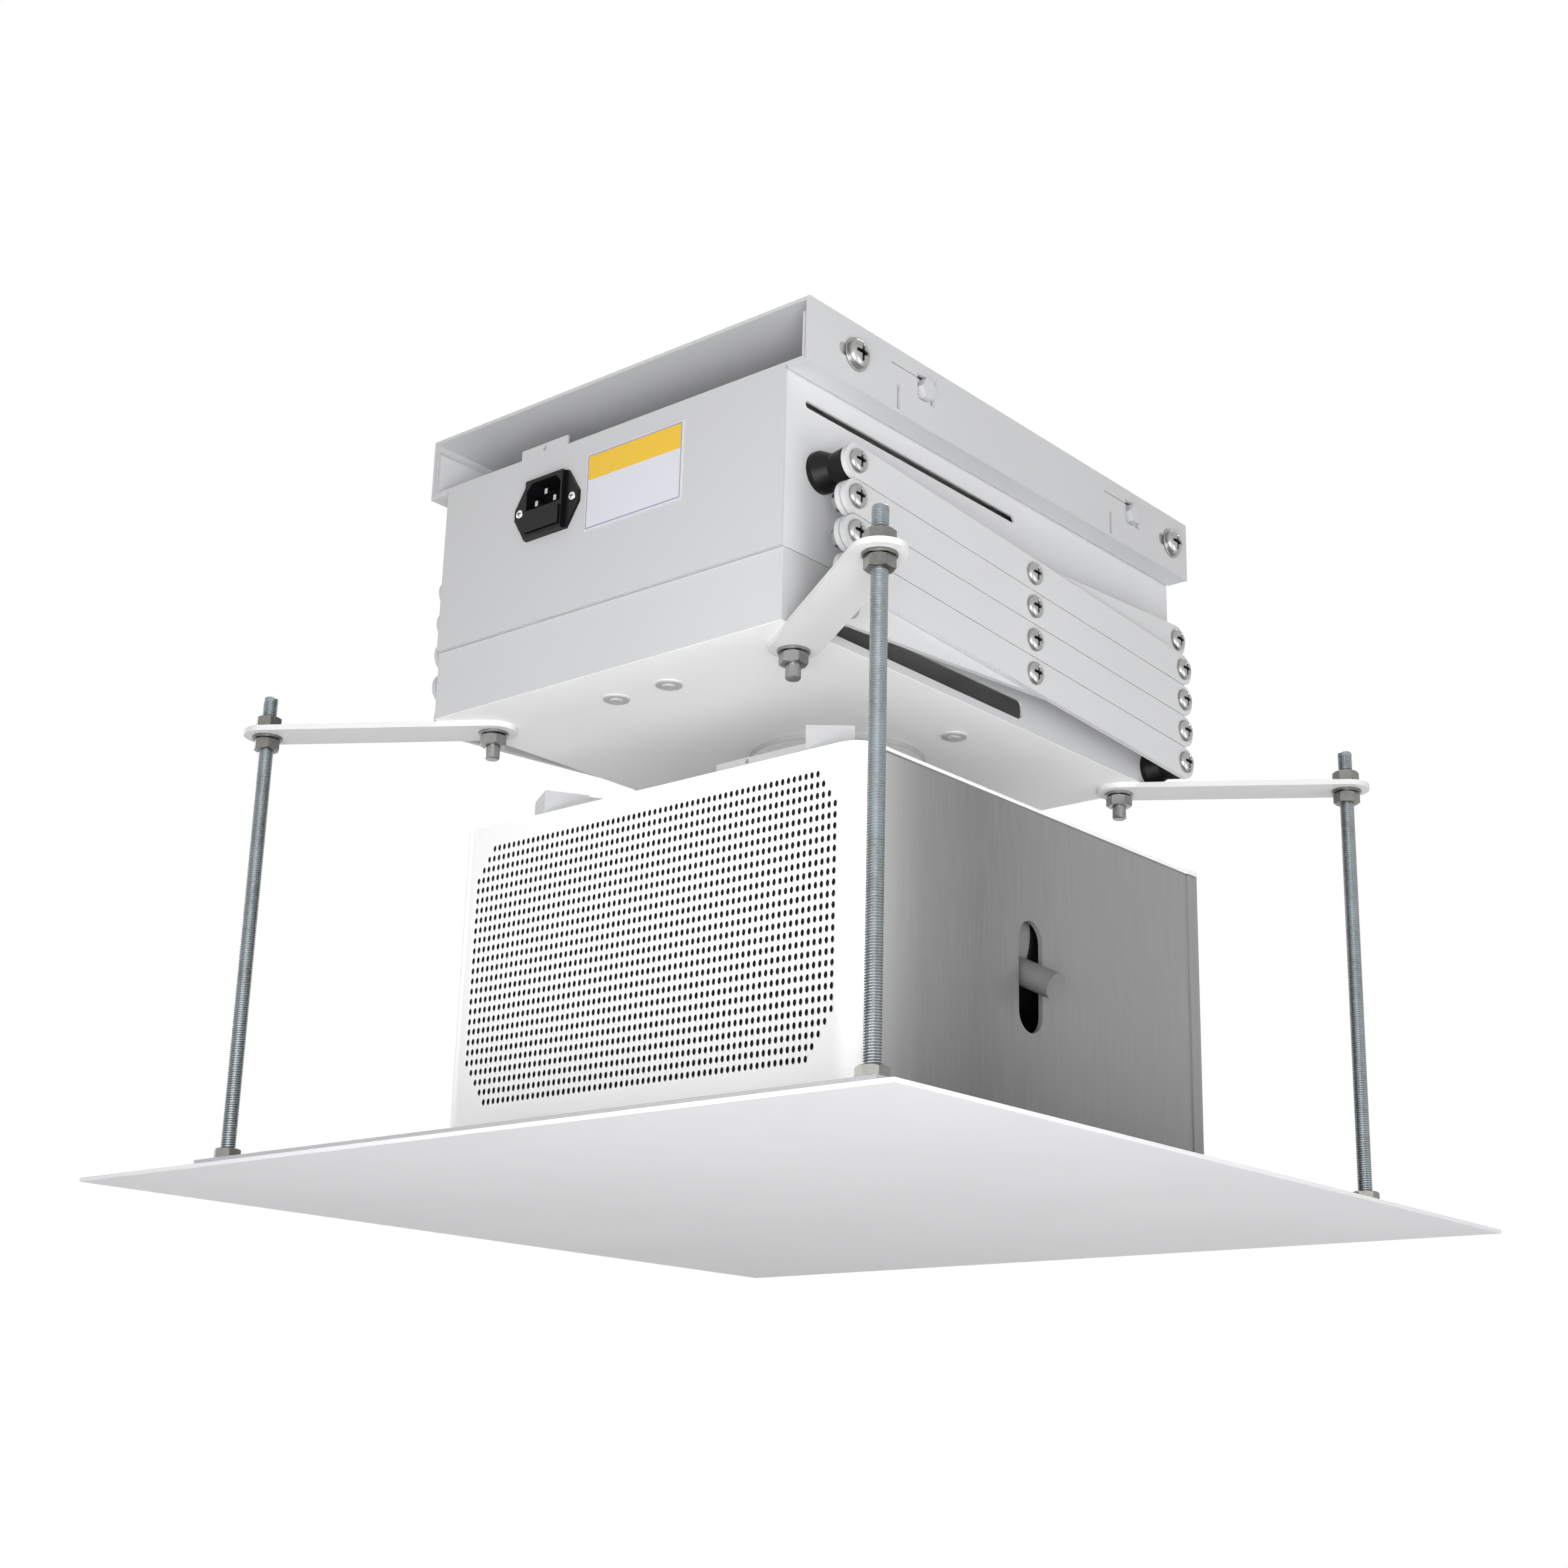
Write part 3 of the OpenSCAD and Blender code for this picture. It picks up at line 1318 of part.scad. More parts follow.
module mount_screws() {
    color(steel) {
        for (turn = [45:90:315])
            translate([casing_mid_x, casing_mid_y, 0]) rotate(turn) {
                bar_z(mount_bolt_ring_d / 2, 0, mount_bolt_head_d / 2,
                    tray_floor_z, tray_floor_z + mount_bolt_head_h);
                bar_z(mount_bolt_ring_d / 2, 0, mount_bolt_d / 2,
                    tray_bottom_z - mount_plate_t, tray_floor_z);
            }
        for (place = foot_places)
            translate([place[0], place[1], mount_foot_top_z]) {
                bar_z(0, 0, foot_screw_head_d / 2, 0, foot_screw_head_h);
                bar_z(0, 0, foot_screw_d / 2, -mount_foot_h - casing_wall - foot_screw_tip, 0);
            }
    }
}

// Plan outline of the casing between two X values, grown by the amount given;
// the corners at front_x are rounded and those at back_x are square
module casing_outline(front_x, back_x, grow, r) {
    low = casing_y0 - grow;
    high = casing_y1 + grow;
    side = sign(back_x - front_x);
    centre_x = front_x + side * r;
    translate([min(centre_x, back_x), low]) square([abs(back_x - centre_x), high - low]);
    translate([min(front_x, back_x), low + r]) square([abs(back_x - front_x), high - low - 2 * r]);
    for (y = [low + r, high - r])
        translate([centre_x, y]) circle(r);
}

module projector_casing() {
    wall = casing_wall;
    color("gainsboro") difference() {
        translate([0, 0, casing_bottom_z]) linear_extrude(casing_h)
            casing_outline(casing_x0, casing_x1, 0, casing_corner_r);
        translate([0, 0, casing_bottom_z + wall]) linear_extrude(casing_h - 2 * wall)
            casing_outline(casing_x0 + wall, casing_x1 + cut, -wall, casing_corner_r - wall);
        plate_x(casing_x0 - cut, casing_x0 + wall + cut) grille_outline(0);
        plate_y(casing_y0 - cut, casing_y0 + wall + cut)
            translate([focus_slot_x, casing_top_z - focus_slot_drop])
                upright_slot(focus_slot_w, focus_slot_h);
        for (place = foot_places)
            bar_z(place[0], place[1], foot_screw_d / 2 + hole_clearance,
                casing_top_z - wall - cut, casing_top_z + cut);
    }
}

// Outline of the grille opening in Y and Z, shrunk by the fit given
module grille_outline(fit) {
    round_rect([casing_y0 + grille_side_inset + fit, casing_bottom_z + grille_bottom_inset + fit],
        [casing_y1 - grille_far_inset - fit, casing_top_z - grille_top_inset - fit], grille_corner_r - fit);
}

module grille_panel() {
    back_x = casing_x0 + casing_wall;
    y0 = casing_y0 + grille_side_inset + grille_tab_inset;
    y1 = casing_y1 - grille_far_inset - grille_tab_inset;
    color("white") {
        plate_x(casing_x0, back_x) grille_outline(grille_fit);
        block([back_x, y0, casing_top_z - grille_top_inset - grille_tab_h],
            [back_x + grille_tab_t, y1, casing_top_z - grille_top_inset + grille_tab_h]);
        block([back_x, y0, casing_bottom_z + grille_bottom_inset - grille_tab_h],
            [back_x + grille_tab_t, y1, casing_bottom_z + grille_bottom_inset + grille_tab_h]);
    }
}

module lens_panel() {
    end_x = casing_x1 + lens_panel_l;
    rim = lens_panel_rim;
    color("gainsboro") difference() {
        translate([0, 0, casing_bottom_z - rim]) linear_extrude(casing_h + 2 * rim)
            casing_outline(end_x, casing_x1, rim, lens_panel_corner_r);
        block([casing_x1 - cut, casing_y0 + casing_wall, casing_bottom_z + casing_wall],
            [end_x - casing_wall, casing_y1 - casing_wall, casing_top_z - casing_wall]);
        bar_x(lens_y, lens_z, lens_window_d / 2, end_x - casing_wall - cut, end_x + cut);
    }
}

module lens_barrel() {
    back_x = lens_tip_x - lens_barrel_l;
    ring_x = focus_slot_x - focus_ring_l / 2 - side_play;
    ring_end_x = focus_slot_x + focus_ring_l / 2 + side_play;
    color("dimgray") difference() {
        union() {
            bar_x(lens_y, lens_z, lens_barrel_d / 2, back_x, lens_tip_x);
            bar_x(lens_y, lens_z, lens_collar_d / 2, ring_x - lens_collar_l, ring_x);
            bar_x(lens_y, lens_z, lens_collar_d / 2, ring_end_x, ring_end_x + lens_collar_l);
            bar_x(lens_y, lens_z, lens_flange_d / 2, lens_tip_x - lens_flange_l, lens_tip_x);
        }
        bar_x(lens_y, lens_z, lens_barrel_d / 2 - lens_wall, back_x - cut, lens_tip_x + cut);
    }
}

// Lens: a disc with both faces bulged as flat cones, held in the barrel's mouth
module lens_glass() {
    r = lens_barrel_d / 2 - lens_wall - hole_clearance;
    back_x = lens_tip_x - lens_glass_inset - lens_glass_t;
    color("lightblue") translate([back_x, lens_y, lens_z]) rotate([0, 90, 0])
        rotate_extrude() polygon([
            [0, -lens_glass_bulge],
            [r / 2, -lens_glass_bulge * 3 / 4],
            [r, 0],
            [r, lens_glass_t],
            [r / 2, lens_glass_t + lens_glass_bulge * 3 / 4],
            [0, lens_glass_t + lens_glass_bulge]
        ]);
}

module focus_ring() {
    inner_r = lens_barrel_d / 2 + running_clearance;
    outer_r = lens_barrel_d / 2 + focus_ring_wall;
    reach = lens_inset_y / cos(lever_angle) + lever_out;
    x0 = focus_slot_x - focus_ring_l / 2;
    color("gray") difference() {
        union() {
            bar_x(lens_y, lens_z, outer_r, x0, x0 + focus_ring_l);
            translate([focus_slot_x, lens_y, lens_z]) rotate([lever_angle, 0, 0])
                bar_y(0, 0, lever_d / 2, -reach, -inner_r - focus_ring_wall / 2);
        }
        bar_x(lens_y, lens_z, inner_r, x0 - cut, x0 + focus_ring_l + cut);
    }
}

// Fan behind the grille

module fan_frame() {
    x0 = casing_x0 + casing_wall;
    x1 = x0 + fan_l;
    half = fan_side / 2;
    color(black_nylon) {
        difference() {
            block([x0, fan_y - half, fan_z - half], [x1, fan_y + half, fan_z + half]);
            bar_x(fan_y, fan_z, fan_bore_d / 2, x0 - cut, x1 + cut);
        }
        bar_x(fan_y, fan_z, fan_base_d / 2, x1 - fan_base_t, x1);
        for (reach = [[half, fan_strut_w / 2], [fan_strut_w / 2, half]])
            block([x1 - fan_base_t, fan_y - reach[0], fan_z - reach[1]],
                [x1, fan_y + reach[0], fan_z + reach[1]]);
        bar_x(fan_y, fan_z, fan_pin_d / 2, x0 + fan_end_gap, x1 - fan_base_t);
    }
}

module fan_rotor() {
    x0 = casing_x0 + casing_wall + fan_end_gap;
    x1 = casing_x0 + casing_wall + fan_l - fan_base_t - side_play;
    blade_r = fan_bore_d / 2 - fan_tip_gap;
    mid_x = (x0 + x1) / 2;
    color("darkslategray") difference() {
        union() {
            bar_x(fan_y, fan_z, fan_hub_d / 2, x0, x1);
            for (i = [0:fan_blade_count - 1])
                translate([mid_x, fan_y, fan_z]) rotate([i * 360 / fan_blade_count, 0, 0])
                    rotate([0, 0, fan_blade_pitch])
                        block([-fan_blade_chord / 2, -fan_blade_t / 2, fan_hub_d / 2 - fan_blade_t],
                            [fan_blade_chord / 2, fan_blade_t / 2, blade_r]);
        }
        bar_x(fan_y, fan_z, fan_pin_d / 2 + running_clearance, x0 - cut, x1 + cut);
    }
}

ceiling_channel();
channel_bolts();
hook_bolts();
motor_housing();
housing_cover();
power_inlet();
inlet_pins();
inlet_screws();
label_plate();
fuse_drawer();
fuse();
gear_motor();
motor_bracket();
screw_bearings();
guide_rods();
control_board();
limit_switches();
lead_screw();
shaft_coupling();
carriage_bar();
drive_nut();
upper_rollers();
carriage_screws();
top_pivot_spacers();
top_pivot_screws();
outer_arms_1();
outer_arms_2();
outer_arms_3();
outer_arms_4();
inner_arms_1();
inner_arms_2();
inner_arms_3();
inner_arms_4();
pivot_screws_1();
pivot_screws_2();
pivot_screws_3();
pivot_screws_4();
slider_bar();
lower_rollers();
slider_screws();
platform_tray();
tray_pivot_spacers();
tray_pivot_screws();
outrigger_arms();
outrigger_bolts();
rod_upper_nuts();
projector_mount();
mount_screws();
projector_casing();
grille_panel();
lens_panel();
lens_barrel();
lens_glass();
fan_frame();
focus_ring();
fan_rotor();
threaded_rods();
rod_lower_nuts();
trim_frame();
trim_panel();
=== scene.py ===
"""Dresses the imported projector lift: coats, plated metal, the perforated grille, threads,
screws, nuts and the studio."""
import json
import math

import bpy
import numpy as np
from bpy.props import FloatProperty, FloatVectorProperty, IntProperty, PointerProperty
from bpy.types import Operator, Panel, PropertyGroup, Scene
from mathutils import Matrix, Vector


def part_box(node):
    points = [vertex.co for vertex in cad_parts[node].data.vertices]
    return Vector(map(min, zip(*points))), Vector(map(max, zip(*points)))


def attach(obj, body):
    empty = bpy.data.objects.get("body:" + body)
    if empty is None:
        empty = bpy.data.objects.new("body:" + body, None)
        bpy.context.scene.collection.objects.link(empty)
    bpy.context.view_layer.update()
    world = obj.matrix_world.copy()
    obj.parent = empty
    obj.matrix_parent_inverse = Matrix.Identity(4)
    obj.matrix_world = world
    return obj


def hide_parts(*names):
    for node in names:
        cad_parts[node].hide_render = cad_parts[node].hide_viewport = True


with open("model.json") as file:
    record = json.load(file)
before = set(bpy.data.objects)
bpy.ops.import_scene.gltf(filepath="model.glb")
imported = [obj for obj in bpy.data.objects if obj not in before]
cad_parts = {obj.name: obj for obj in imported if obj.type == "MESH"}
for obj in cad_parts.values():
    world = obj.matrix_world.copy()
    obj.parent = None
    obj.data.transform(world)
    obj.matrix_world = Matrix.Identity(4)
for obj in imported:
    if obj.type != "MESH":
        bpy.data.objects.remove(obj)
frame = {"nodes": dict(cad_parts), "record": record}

bl_info = {
    "name": "Projector Lift Dresser",
    "version": (1, 0, 0),
    "blender": (4, 5, 0),
    "location": "View3D > Sidebar > Lift",
    "description": "Dresses a motorized projector lift around its packed frame",
    "category": "Object",
}

MM = 0.001


def joint_place(name):
    """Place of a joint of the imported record, in metres."""
    for joint in frame["record"]["behaviour"]["joints"]:
        if joint["name"] == name:
            return np.array(joint["pos_m"])
    raise RuntimeError("the record has no joint " + name)


# Pivots of the scissor: rows 1 to 5 from the top, and the left, middle and right ones along X
TOP_PIVOT = joint_place("lift")
LOW_PIVOT = joint_place("platform_turn")
LEFT_X = joint_place("carriage_turn")[0]
RIGHT_X = TOP_PIVOT[0]
MIDDLE_X = (LEFT_X + RIGHT_X) / 2
ROW_PITCH = (TOP_PIVOT[2] - LOW_PIVOT[2]) / 4

# Sheet of the housing and the tray, and half the width over the housing's walls, which its
# limit switches touch inside
SHEET = 1.5 * MM
HOUSING_WALL_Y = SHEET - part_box("limit_switches")[0][1]


def row_z(k):
    """Height of pivot row k, counted from 1 at the top; a half is midway between two rows."""
    return TOP_PIVOT[2] - (k - 1) * ROW_PITCH


# Sizes and colours that a user would change

def colour(name, text, value):
    """A colour property with the given default."""
    return FloatVectorProperty(name=name, description=text, subtype="COLOR", size=3, min=0, max=1,
                               default=value)


def length(name, text, mm):
    """A length property whose default is given in millimetres."""
    return FloatProperty(name=name, description=text, subtype="DISTANCE", unit="LENGTH",
                         min=0, max=0.5, default=mm * MM)


def count(name, text, value, low, high):
    """A whole number property between two limits."""
    return IntProperty(name=name, description=text, min=low, max=high, default=value)


class LiftColours(PropertyGroup):
    """Colours of the lift's finishes."""
    powder: colour("Powder coat", "Coat of the sheet metal and arms", (0.70, 0.705, 0.715))
    # light is painted light: a paler colour than the powder coat, for the tray's underside and the
    # outriggers, standing in for light from below
    light: colour("Underside painted light", "Tray's underside and outriggers", (0.94, 0.94, 0.945))
    # inside is painted shade: near black inside the tray, where only shade falls
    inside: colour("Tray inside shade", "Painted shade inside the tray", (0.015, 0.015, 0.016))
    trim: colour("Trim", "Paint of the trim panel", (0.765, 0.765, 0.78))
    front: colour("Casing front", "Front face of the projector casing", (0.96, 0.96, 0.965))
    side: colour("Casing side", "Sides of the projector casing", (0.325, 0.325, 0.327))
    filter: colour("Dust filter", "Filter behind the grille", (0.004, 0.004, 0.0045))
    stainless: colour("Stainless steel", "Screws, bolts and guide rods", (0.36, 0.355, 0.345))
    zinc: colour("Zinc plate", "Threaded rods", (0.27, 0.29, 0.30))
    nut: colour("Nut plate", "Nuts and washers on the threaded rods", (0.205, 0.205, 0.195))
    nylon: colour("Black nylon", "Spools and other moulded black parts", (0.005, 0.005, 0.0055))
    inlet: colour("Inlet", "Moulding of the power inlet", (0.004, 0.004, 0.005))
    label_head: colour("Label header", "Header strip of the blank label", (0.83, 0.52, 0.035))
    label_body: colour("Label body", "Body of the blank label", (0.70, 0.70, 0.76))
    label_line: colour("Label line", "Thin frame line of the blank label", (0.34, 0.32, 0.42))
    ring: colour("Focus ring", "Focus ring and its lever", (0.20, 0.20, 0.205))


class LiftSizes(PropertyGroup):
    """Sizes of the lift's small details."""
    grille_near: length("Near margin", "Casing's near corner to the holes", 14.2)
    grille_far: length("Far margin", "Casing's far corner to the holes", 16.6)
    grille_top: length("Top margin", "Casing top to the holes", 10.9)
    grille_bottom: length("Bottom margin", "Holes to the casing bottom", 19.7)
    hole_w: length("Hole width", "Width of one hole", 2.25)
    hole_h: length("Hole height", "Height of one hole", 3.5)
    grille_rows: count("Rows of holes", "Rows of holes up the grille", 26, 4, 40)
    grille_columns: count("Holes a row", "Holes in one row", 68, 8, 100)
    thread_pitch: length("Thread pitch", "Pitch of the rods' thread", 1.25)
    thread_depth: length("Thread depth", "Depth of the rods' thread", 0.4)
    rod_d: length("Rod", "Diameter of the rods and outrigger bolts", 8.0)
    head_d: length("Screw head", "Diameter of the pivot screws' heads", 12.5)
    head_h: length("Screw head height", "Height of the pivot screws' heads", 3.2)
    shank_d: length("Pivot screw", "Diameter of the pivot screws", 6.0)
    bolt_head_d: length("Bolt head", "Diameter of the channel bolts' heads", 15.0)
    bolt_head_h: length("Bolt head height", "Height of the channel bolts' heads", 4.3)
    bolt_washer_d: length("Bolt washer", "Diameter of the channel bolts' washers", 18.0)
    bolt_washer_t: length("Bolt washer thickness", "Thickness of the bolts' washers", 1.2)
    arm_t: length("Arm thickness", "Thickness of a scissor arm", 3.0)
    nut_af: length("Nut width", "Width across the flats of the rod nuts", 13.0)
    nut_h: length("Nut height", "Height of the rod nuts", 6.4)
    washer_d: length("Washer", "Diameter of the rod washers", 16.8)
    washer_t: length("Washer thickness", "Thickness of the rod washers", 1.6)


def colours():
    return bpy.context.scene.lift_colours


def sizes():
    return bpy.context.scene.lift_sizes


# Shader maths

def math_node(operation, reflected=False):
    """Method that adds the Math node of an operation to a wire."""
    def method(self, *other):
        values = (*other, self) if reflected else (self, *other)
        return self.recipe.node("ShaderNodeMath", {"operation": operation},
                                dict(enumerate(values)))
    return method


class Wire:
    """A shader socket that works in plain arithmetic: each operator adds its Math node."""

    def __init__(self, recipe, socket):
        self.recipe = recipe
        self.socket = socket

    __add__ = __radd__ = math_node("ADD")
    __mul__ = __rmul__ = math_node("MULTIPLY")
    __sub__ = math_node("SUBTRACT")
    __rsub__ = math_node("SUBTRACT", reflected=True)
    __truediv__ = math_node("DIVIDE")
    __rtruediv__ = math_node("DIVIDE", reflected=True)
    __pow__ = math_node("POWER")
    __rpow__ = math_node("POWER", reflected=True)
    __abs__ = math_node("ABSOLUTE")
    __lt__ = math_node("LESS_THAN")
    __gt__ = math_node("GREATER_THAN")
    least = math_node("MINIMUM")
    most = math_node("MAXIMUM")

    def ramp(self, low, high):
        """0 below low and 1 above high, with a smooth step between."""
        return self.recipe.node("ShaderNodeMapRange", {"interpolation_type": "SMOOTHSTEP"},
                                {"Value": self, "From Min": low, "From Max": high})


class Recipe:
    """The nodes of one material around its Principled shader, or of the world."""

    def __init__(self, name, owner=None):
        self.material = owner or bpy.data.materials.new(name)
        self.material.use_nodes = True
        self.tree = self.material.node_tree
        self.shader = self.tree.nodes.get("Principled BSDF")

    def node(self, kind, settings=None, inputs=None, out=0):
        """Adds any node: its settings first, then the values or wires of its inputs.
        Returns the wire of one output."""
        made = self.tree.nodes.new(kind)
        for key, value in (settings or {}).items():
            if key == "stops":
                elements = made.color_ramp.elements
                while len(elements) < len(value):
                    elements.new(0.5)
                for element, (place, rgb) in zip(elements, value):
                    element.position = place
                    element.color = (*rgb, 1.0)
            else:
                setattr(made, key, value)
        for key, value in (inputs or {}).items():
            self.put(made.inputs[key], value)
        return Wire(self, made.outputs[out])

    def put(self, socket, value):
        """Links a wire to a socket, or sets the socket's value; a colour may lack its alpha."""
        if isinstance(value, Wire):
            self.tree.links.new(value.socket, socket)
        elif socket.type == "RGBA" and len(value) == 3:
            socket.default_value = (*value, 1.0)
        else:
            socket.default_value = value

    def link(self, wire, node, socket):
        """Links a wire to a socket of a node that is there already."""
        self.tree.links.new(wire.socket, self.tree.nodes[node].inputs[socket])

    def set(self, **inputs):
        """Sets the Principled shader's inputs; an underscore stands for a space."""
        for key, value in inputs.items():
            self.put(self.shader.inputs[key.replace("_", " ")], value)

    def place(self):
        """The point on the piece, in metres."""
        return self.node("ShaderNodeTexCoord", out="Object")

    def axes(self):
        """The point's X, Y and Z as three wires."""
        split = self.tree.nodes.new("ShaderNodeSeparateXYZ")
        self.put(split.inputs[0], self.place())
        return [Wire(self, socket) for socket in split.outputs]

    def stretched(self, x, y, z):
        """The point with each axis multiplied by its own factor."""
        return self.node("ShaderNodeMapping", {}, {"Vector": self.place(), "Scale": (x, y, z)})

    def noise(self, scale, detail=2.0, at=None):
        """Cloudy noise between 0 and 1, with about scale clouds a metre."""
        return self.node("ShaderNodeTexNoise", {}, {
            "Vector": at or self.place(), "Scale": scale, "Detail": detail, "Roughness": 0.5})

    def mix(self, factor, a, b):
        """Colour a where factor is 0 and b where it is 1."""
        return self.node("ShaderNodeMix", {"data_type": "RGBA"}, {0: factor, 6: a, 7: b}, 2)

    def bump(self, height, distance, strength):
        """Normal from a height between 0 and 1, in metres of distance."""
        return self.node("ShaderNodeBump", {}, {
            "Height": height, "Distance": distance, "Strength": strength})


def shade(rgb, factor):
    """A colour made lighter or darker by a factor."""
    return tuple(min(1.0, max(0.0, channel * factor)) for channel in rgb)


def powder_coat(name, rgb, rough=0.5, layers=()):
    """Baked coat: an orange-peel surface of about 1 mm, with a cloudy tone of 1.5 per cent either
    way and rough spots. Each layer is a colour and a function that tells from the three axes
    where it lies."""
    r = Recipe(name)
    cloud = r.noise(scale=7.0, detail=3.0)
    peel = r.noise(scale=900.0, detail=1.5)
    speck = r.noise(scale=2600.0, detail=1.0)
    tone = r.mix(cloud.ramp(0.3, 0.7), shade(rgb, 0.985), shade(rgb, 1.015))
    for layer, where in layers:
        tone = r.mix(where(*r.axes()), tone, layer)
    r.set(Base_Color=tone, Roughness=rough - 0.05 + speck * 0.1,
          Normal=r.bump(peel, distance=0.06 * MM, strength=0.5), Specular_IOR_Level=0.35)
    return r.material


def plated_steel(name, rgb, rough, grain=(1.0, 1.0, 1.0), tint=(0.95, 1.0, 1.02),
                 recessed=False):
    """Plated or bare steel: fine drawn grain, a cloudy tone that leans to the tint, and small
    duller spots. The grain gives the stretch of the drawn lines on each axis. With recessed, the
    mesh's hollows are painted dark, as painted shade in the recesses."""
    r = Recipe(name)
    drawn = r.noise(scale=500.0, at=r.stretched(*grain))
    cloud = r.noise(scale=60.0, detail=3.0)
    tinted = tuple(min(1.0, c * t * 1.1) for c, t in zip(rgb, tint))
    tone = r.mix(cloud.ramp(0.35, 0.65), shade(rgb, 0.86), tinted)
    face = r.mix(drawn.ramp(0.3, 0.75), tone, shade(rgb, 1.08))
    if recessed:
        # Painted shade: the mesh's hollows, such as a screw's cross recess, turn nearly black
        hollow = r.node("ShaderNodeAttribute", {"attribute_name": "hollow"}, out="Fac")
        face = r.mix(hollow, face, shade(rgb, 0.06))
    r.set(Base_Color=face, Metallic=1.0, Roughness=rough - 0.06 + cloud * 0.14,
          Normal=r.bump(drawn, distance=0.03 * MM, strength=0.4))
    return r.material


def moulded(name, rgb, rough, grain=1400.0, level=0.4):
    """Moulded plastic: a fine spark-eroded grain with slightly glossier flow marks."""
    r = Recipe(name)
    skin = r.noise(scale=grain)
    flow = r.noise(scale=25.0)
    r.set(Base_Color=r.mix(flow.ramp(0.3, 0.7), shade(rgb, 0.85), shade(rgb, 1.2)),
          Roughness=rough - 0.06 + flow * 0.12, Specular_IOR_Level=level,
          Normal=r.bump(skin, distance=0.04 * MM, strength=0.35))
    return r.material


# Meshes

def strip_faces(rows, columns, around=True, shift=0):
    """Four-sided faces between neighbouring rows of a rows by columns grid of points.
    With around, the last column joins the first one, shift rows further on."""
    last = columns if around else columns - 1
    i, j = np.meshgrid(np.arange(rows - 1), np.arange(last), indexing="ij")
    next_j = (j + 1) % columns
    lift = np.where(j + 1 == columns, shift, 0)
    faces = np.stack([i * columns + j, (i + lift) * columns + next_j,
                      (i + 1 + lift) * columns + next_j, (i + 1) * columns + j], -1)
    return faces[(i + 1 + lift) < rows]


class Part:
    """A mesh in the making: its points, its four-sided faces, how deep each point lies in a
    hollow, from 0 to 1, and the material index of each face."""

    def __init__(self, points, faces, hollow=None, index=None):
        self.points = np.asarray(points, float)
        self.faces = np.asarray(faces, int)
        self.hollow = np.zeros(len(self.points)) if hollow is None else hollow
        self.index = np.zeros(len(self.faces), int) if index is None else index

    def moved(self, x, y, z):
        """The same part, moved."""
        return Part(self.points + [x, y, z], self.faces, self.hollow, self.index)


def join(parts):
    """Several parts as one."""
    starts = np.cumsum([0] + [len(p.points) for p in parts])
    return Part(np.concatenate([p.points for p in parts]),
                np.concatenate([p.faces + start for p, start in zip(parts, starts)]),
                np.concatenate([p.hollow for p in parts]),
                np.concatenate([p.index for p in parts]))


def at_corners(part, x, y):
    """The part four times, at plus and minus x and y."""
    return join([part.moved(sx * x, sy * y, 0) for sx in (-1, 1) for sy in (-1, 1)])


def turned(profile, columns):
    """Surface of revolution about Z: radius and height come from the profile, the angle runs
    evenly round. A radius of zero closes a pole."""
    profile = np.asarray(profile, float)
    angle = np.arange(columns) * 2 * np.pi / columns
    points = np.stack([profile[:, :1] * np.cos(angle), profile[:, :1] * np.sin(angle),
                       profile[:, 1:] + 0 * angle], -1)
    return Part(points.reshape(-1, 3), strip_faces(len(profile), columns))


def aimed(part, place, axis):
    """Moves a part from the origin to place, with its Z turned onto the axis given."""
    axis = np.array(axis, float)
    side = np.array([0.0, 1.0, 0.0]) if abs(axis[0]) > 0.5 else np.array([1.0, 0.0, 0.0])
    turn = np.stack([side, np.cross(axis, side), axis])
    return Part(part.points @ turn + np.array(place, float), part.faces, part.hollow, part.index)


# Edges that bend by more than this stay sharp on a smooth piece
SHARP_BEND = math.radians(32)


def piece(name, part, material, body, *nodes, smooth=True, slot=None, inner=None):
    """Makes a mesh object from a part, gives it its finish and lets it ride on a body in place of
    its nodes. The inner finish is for the faces whose material index is 1."""
    mesh = bpy.data.meshes.new(name)
    mesh.from_pydata(part.points, [], part.faces, shade_flat=False)
    mesh.polygons.foreach_set("material_index", part.index.astype(np.int32))
    hollow = mesh.attributes.new("hollow", "FLOAT", "POINT")
    hollow.data.foreach_set("value", part.hollow.astype(np.float32))
    mesh.validate()
    if smooth:
        mesh.shade_smooth()
        mesh.set_sharp_from_angle(angle=SHARP_BEND)
    obj = bpy.data.objects.new(name, mesh)
    bpy.context.scene.collection.objects.link(obj)
    mesh.materials.append(material)
    if inner:
        mesh.materials.append(inner)
    if body:
        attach(obj, body)
    if nodes:
        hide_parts(*nodes)
    return obj


def coat(material, *names):
    """Gives a finish to CAD nodes."""
    for name in names:
        materials = frame["nodes"][name].data.materials
        materials.clear()
        materials.append(material)


# Small hardware, each made about Z at the origin

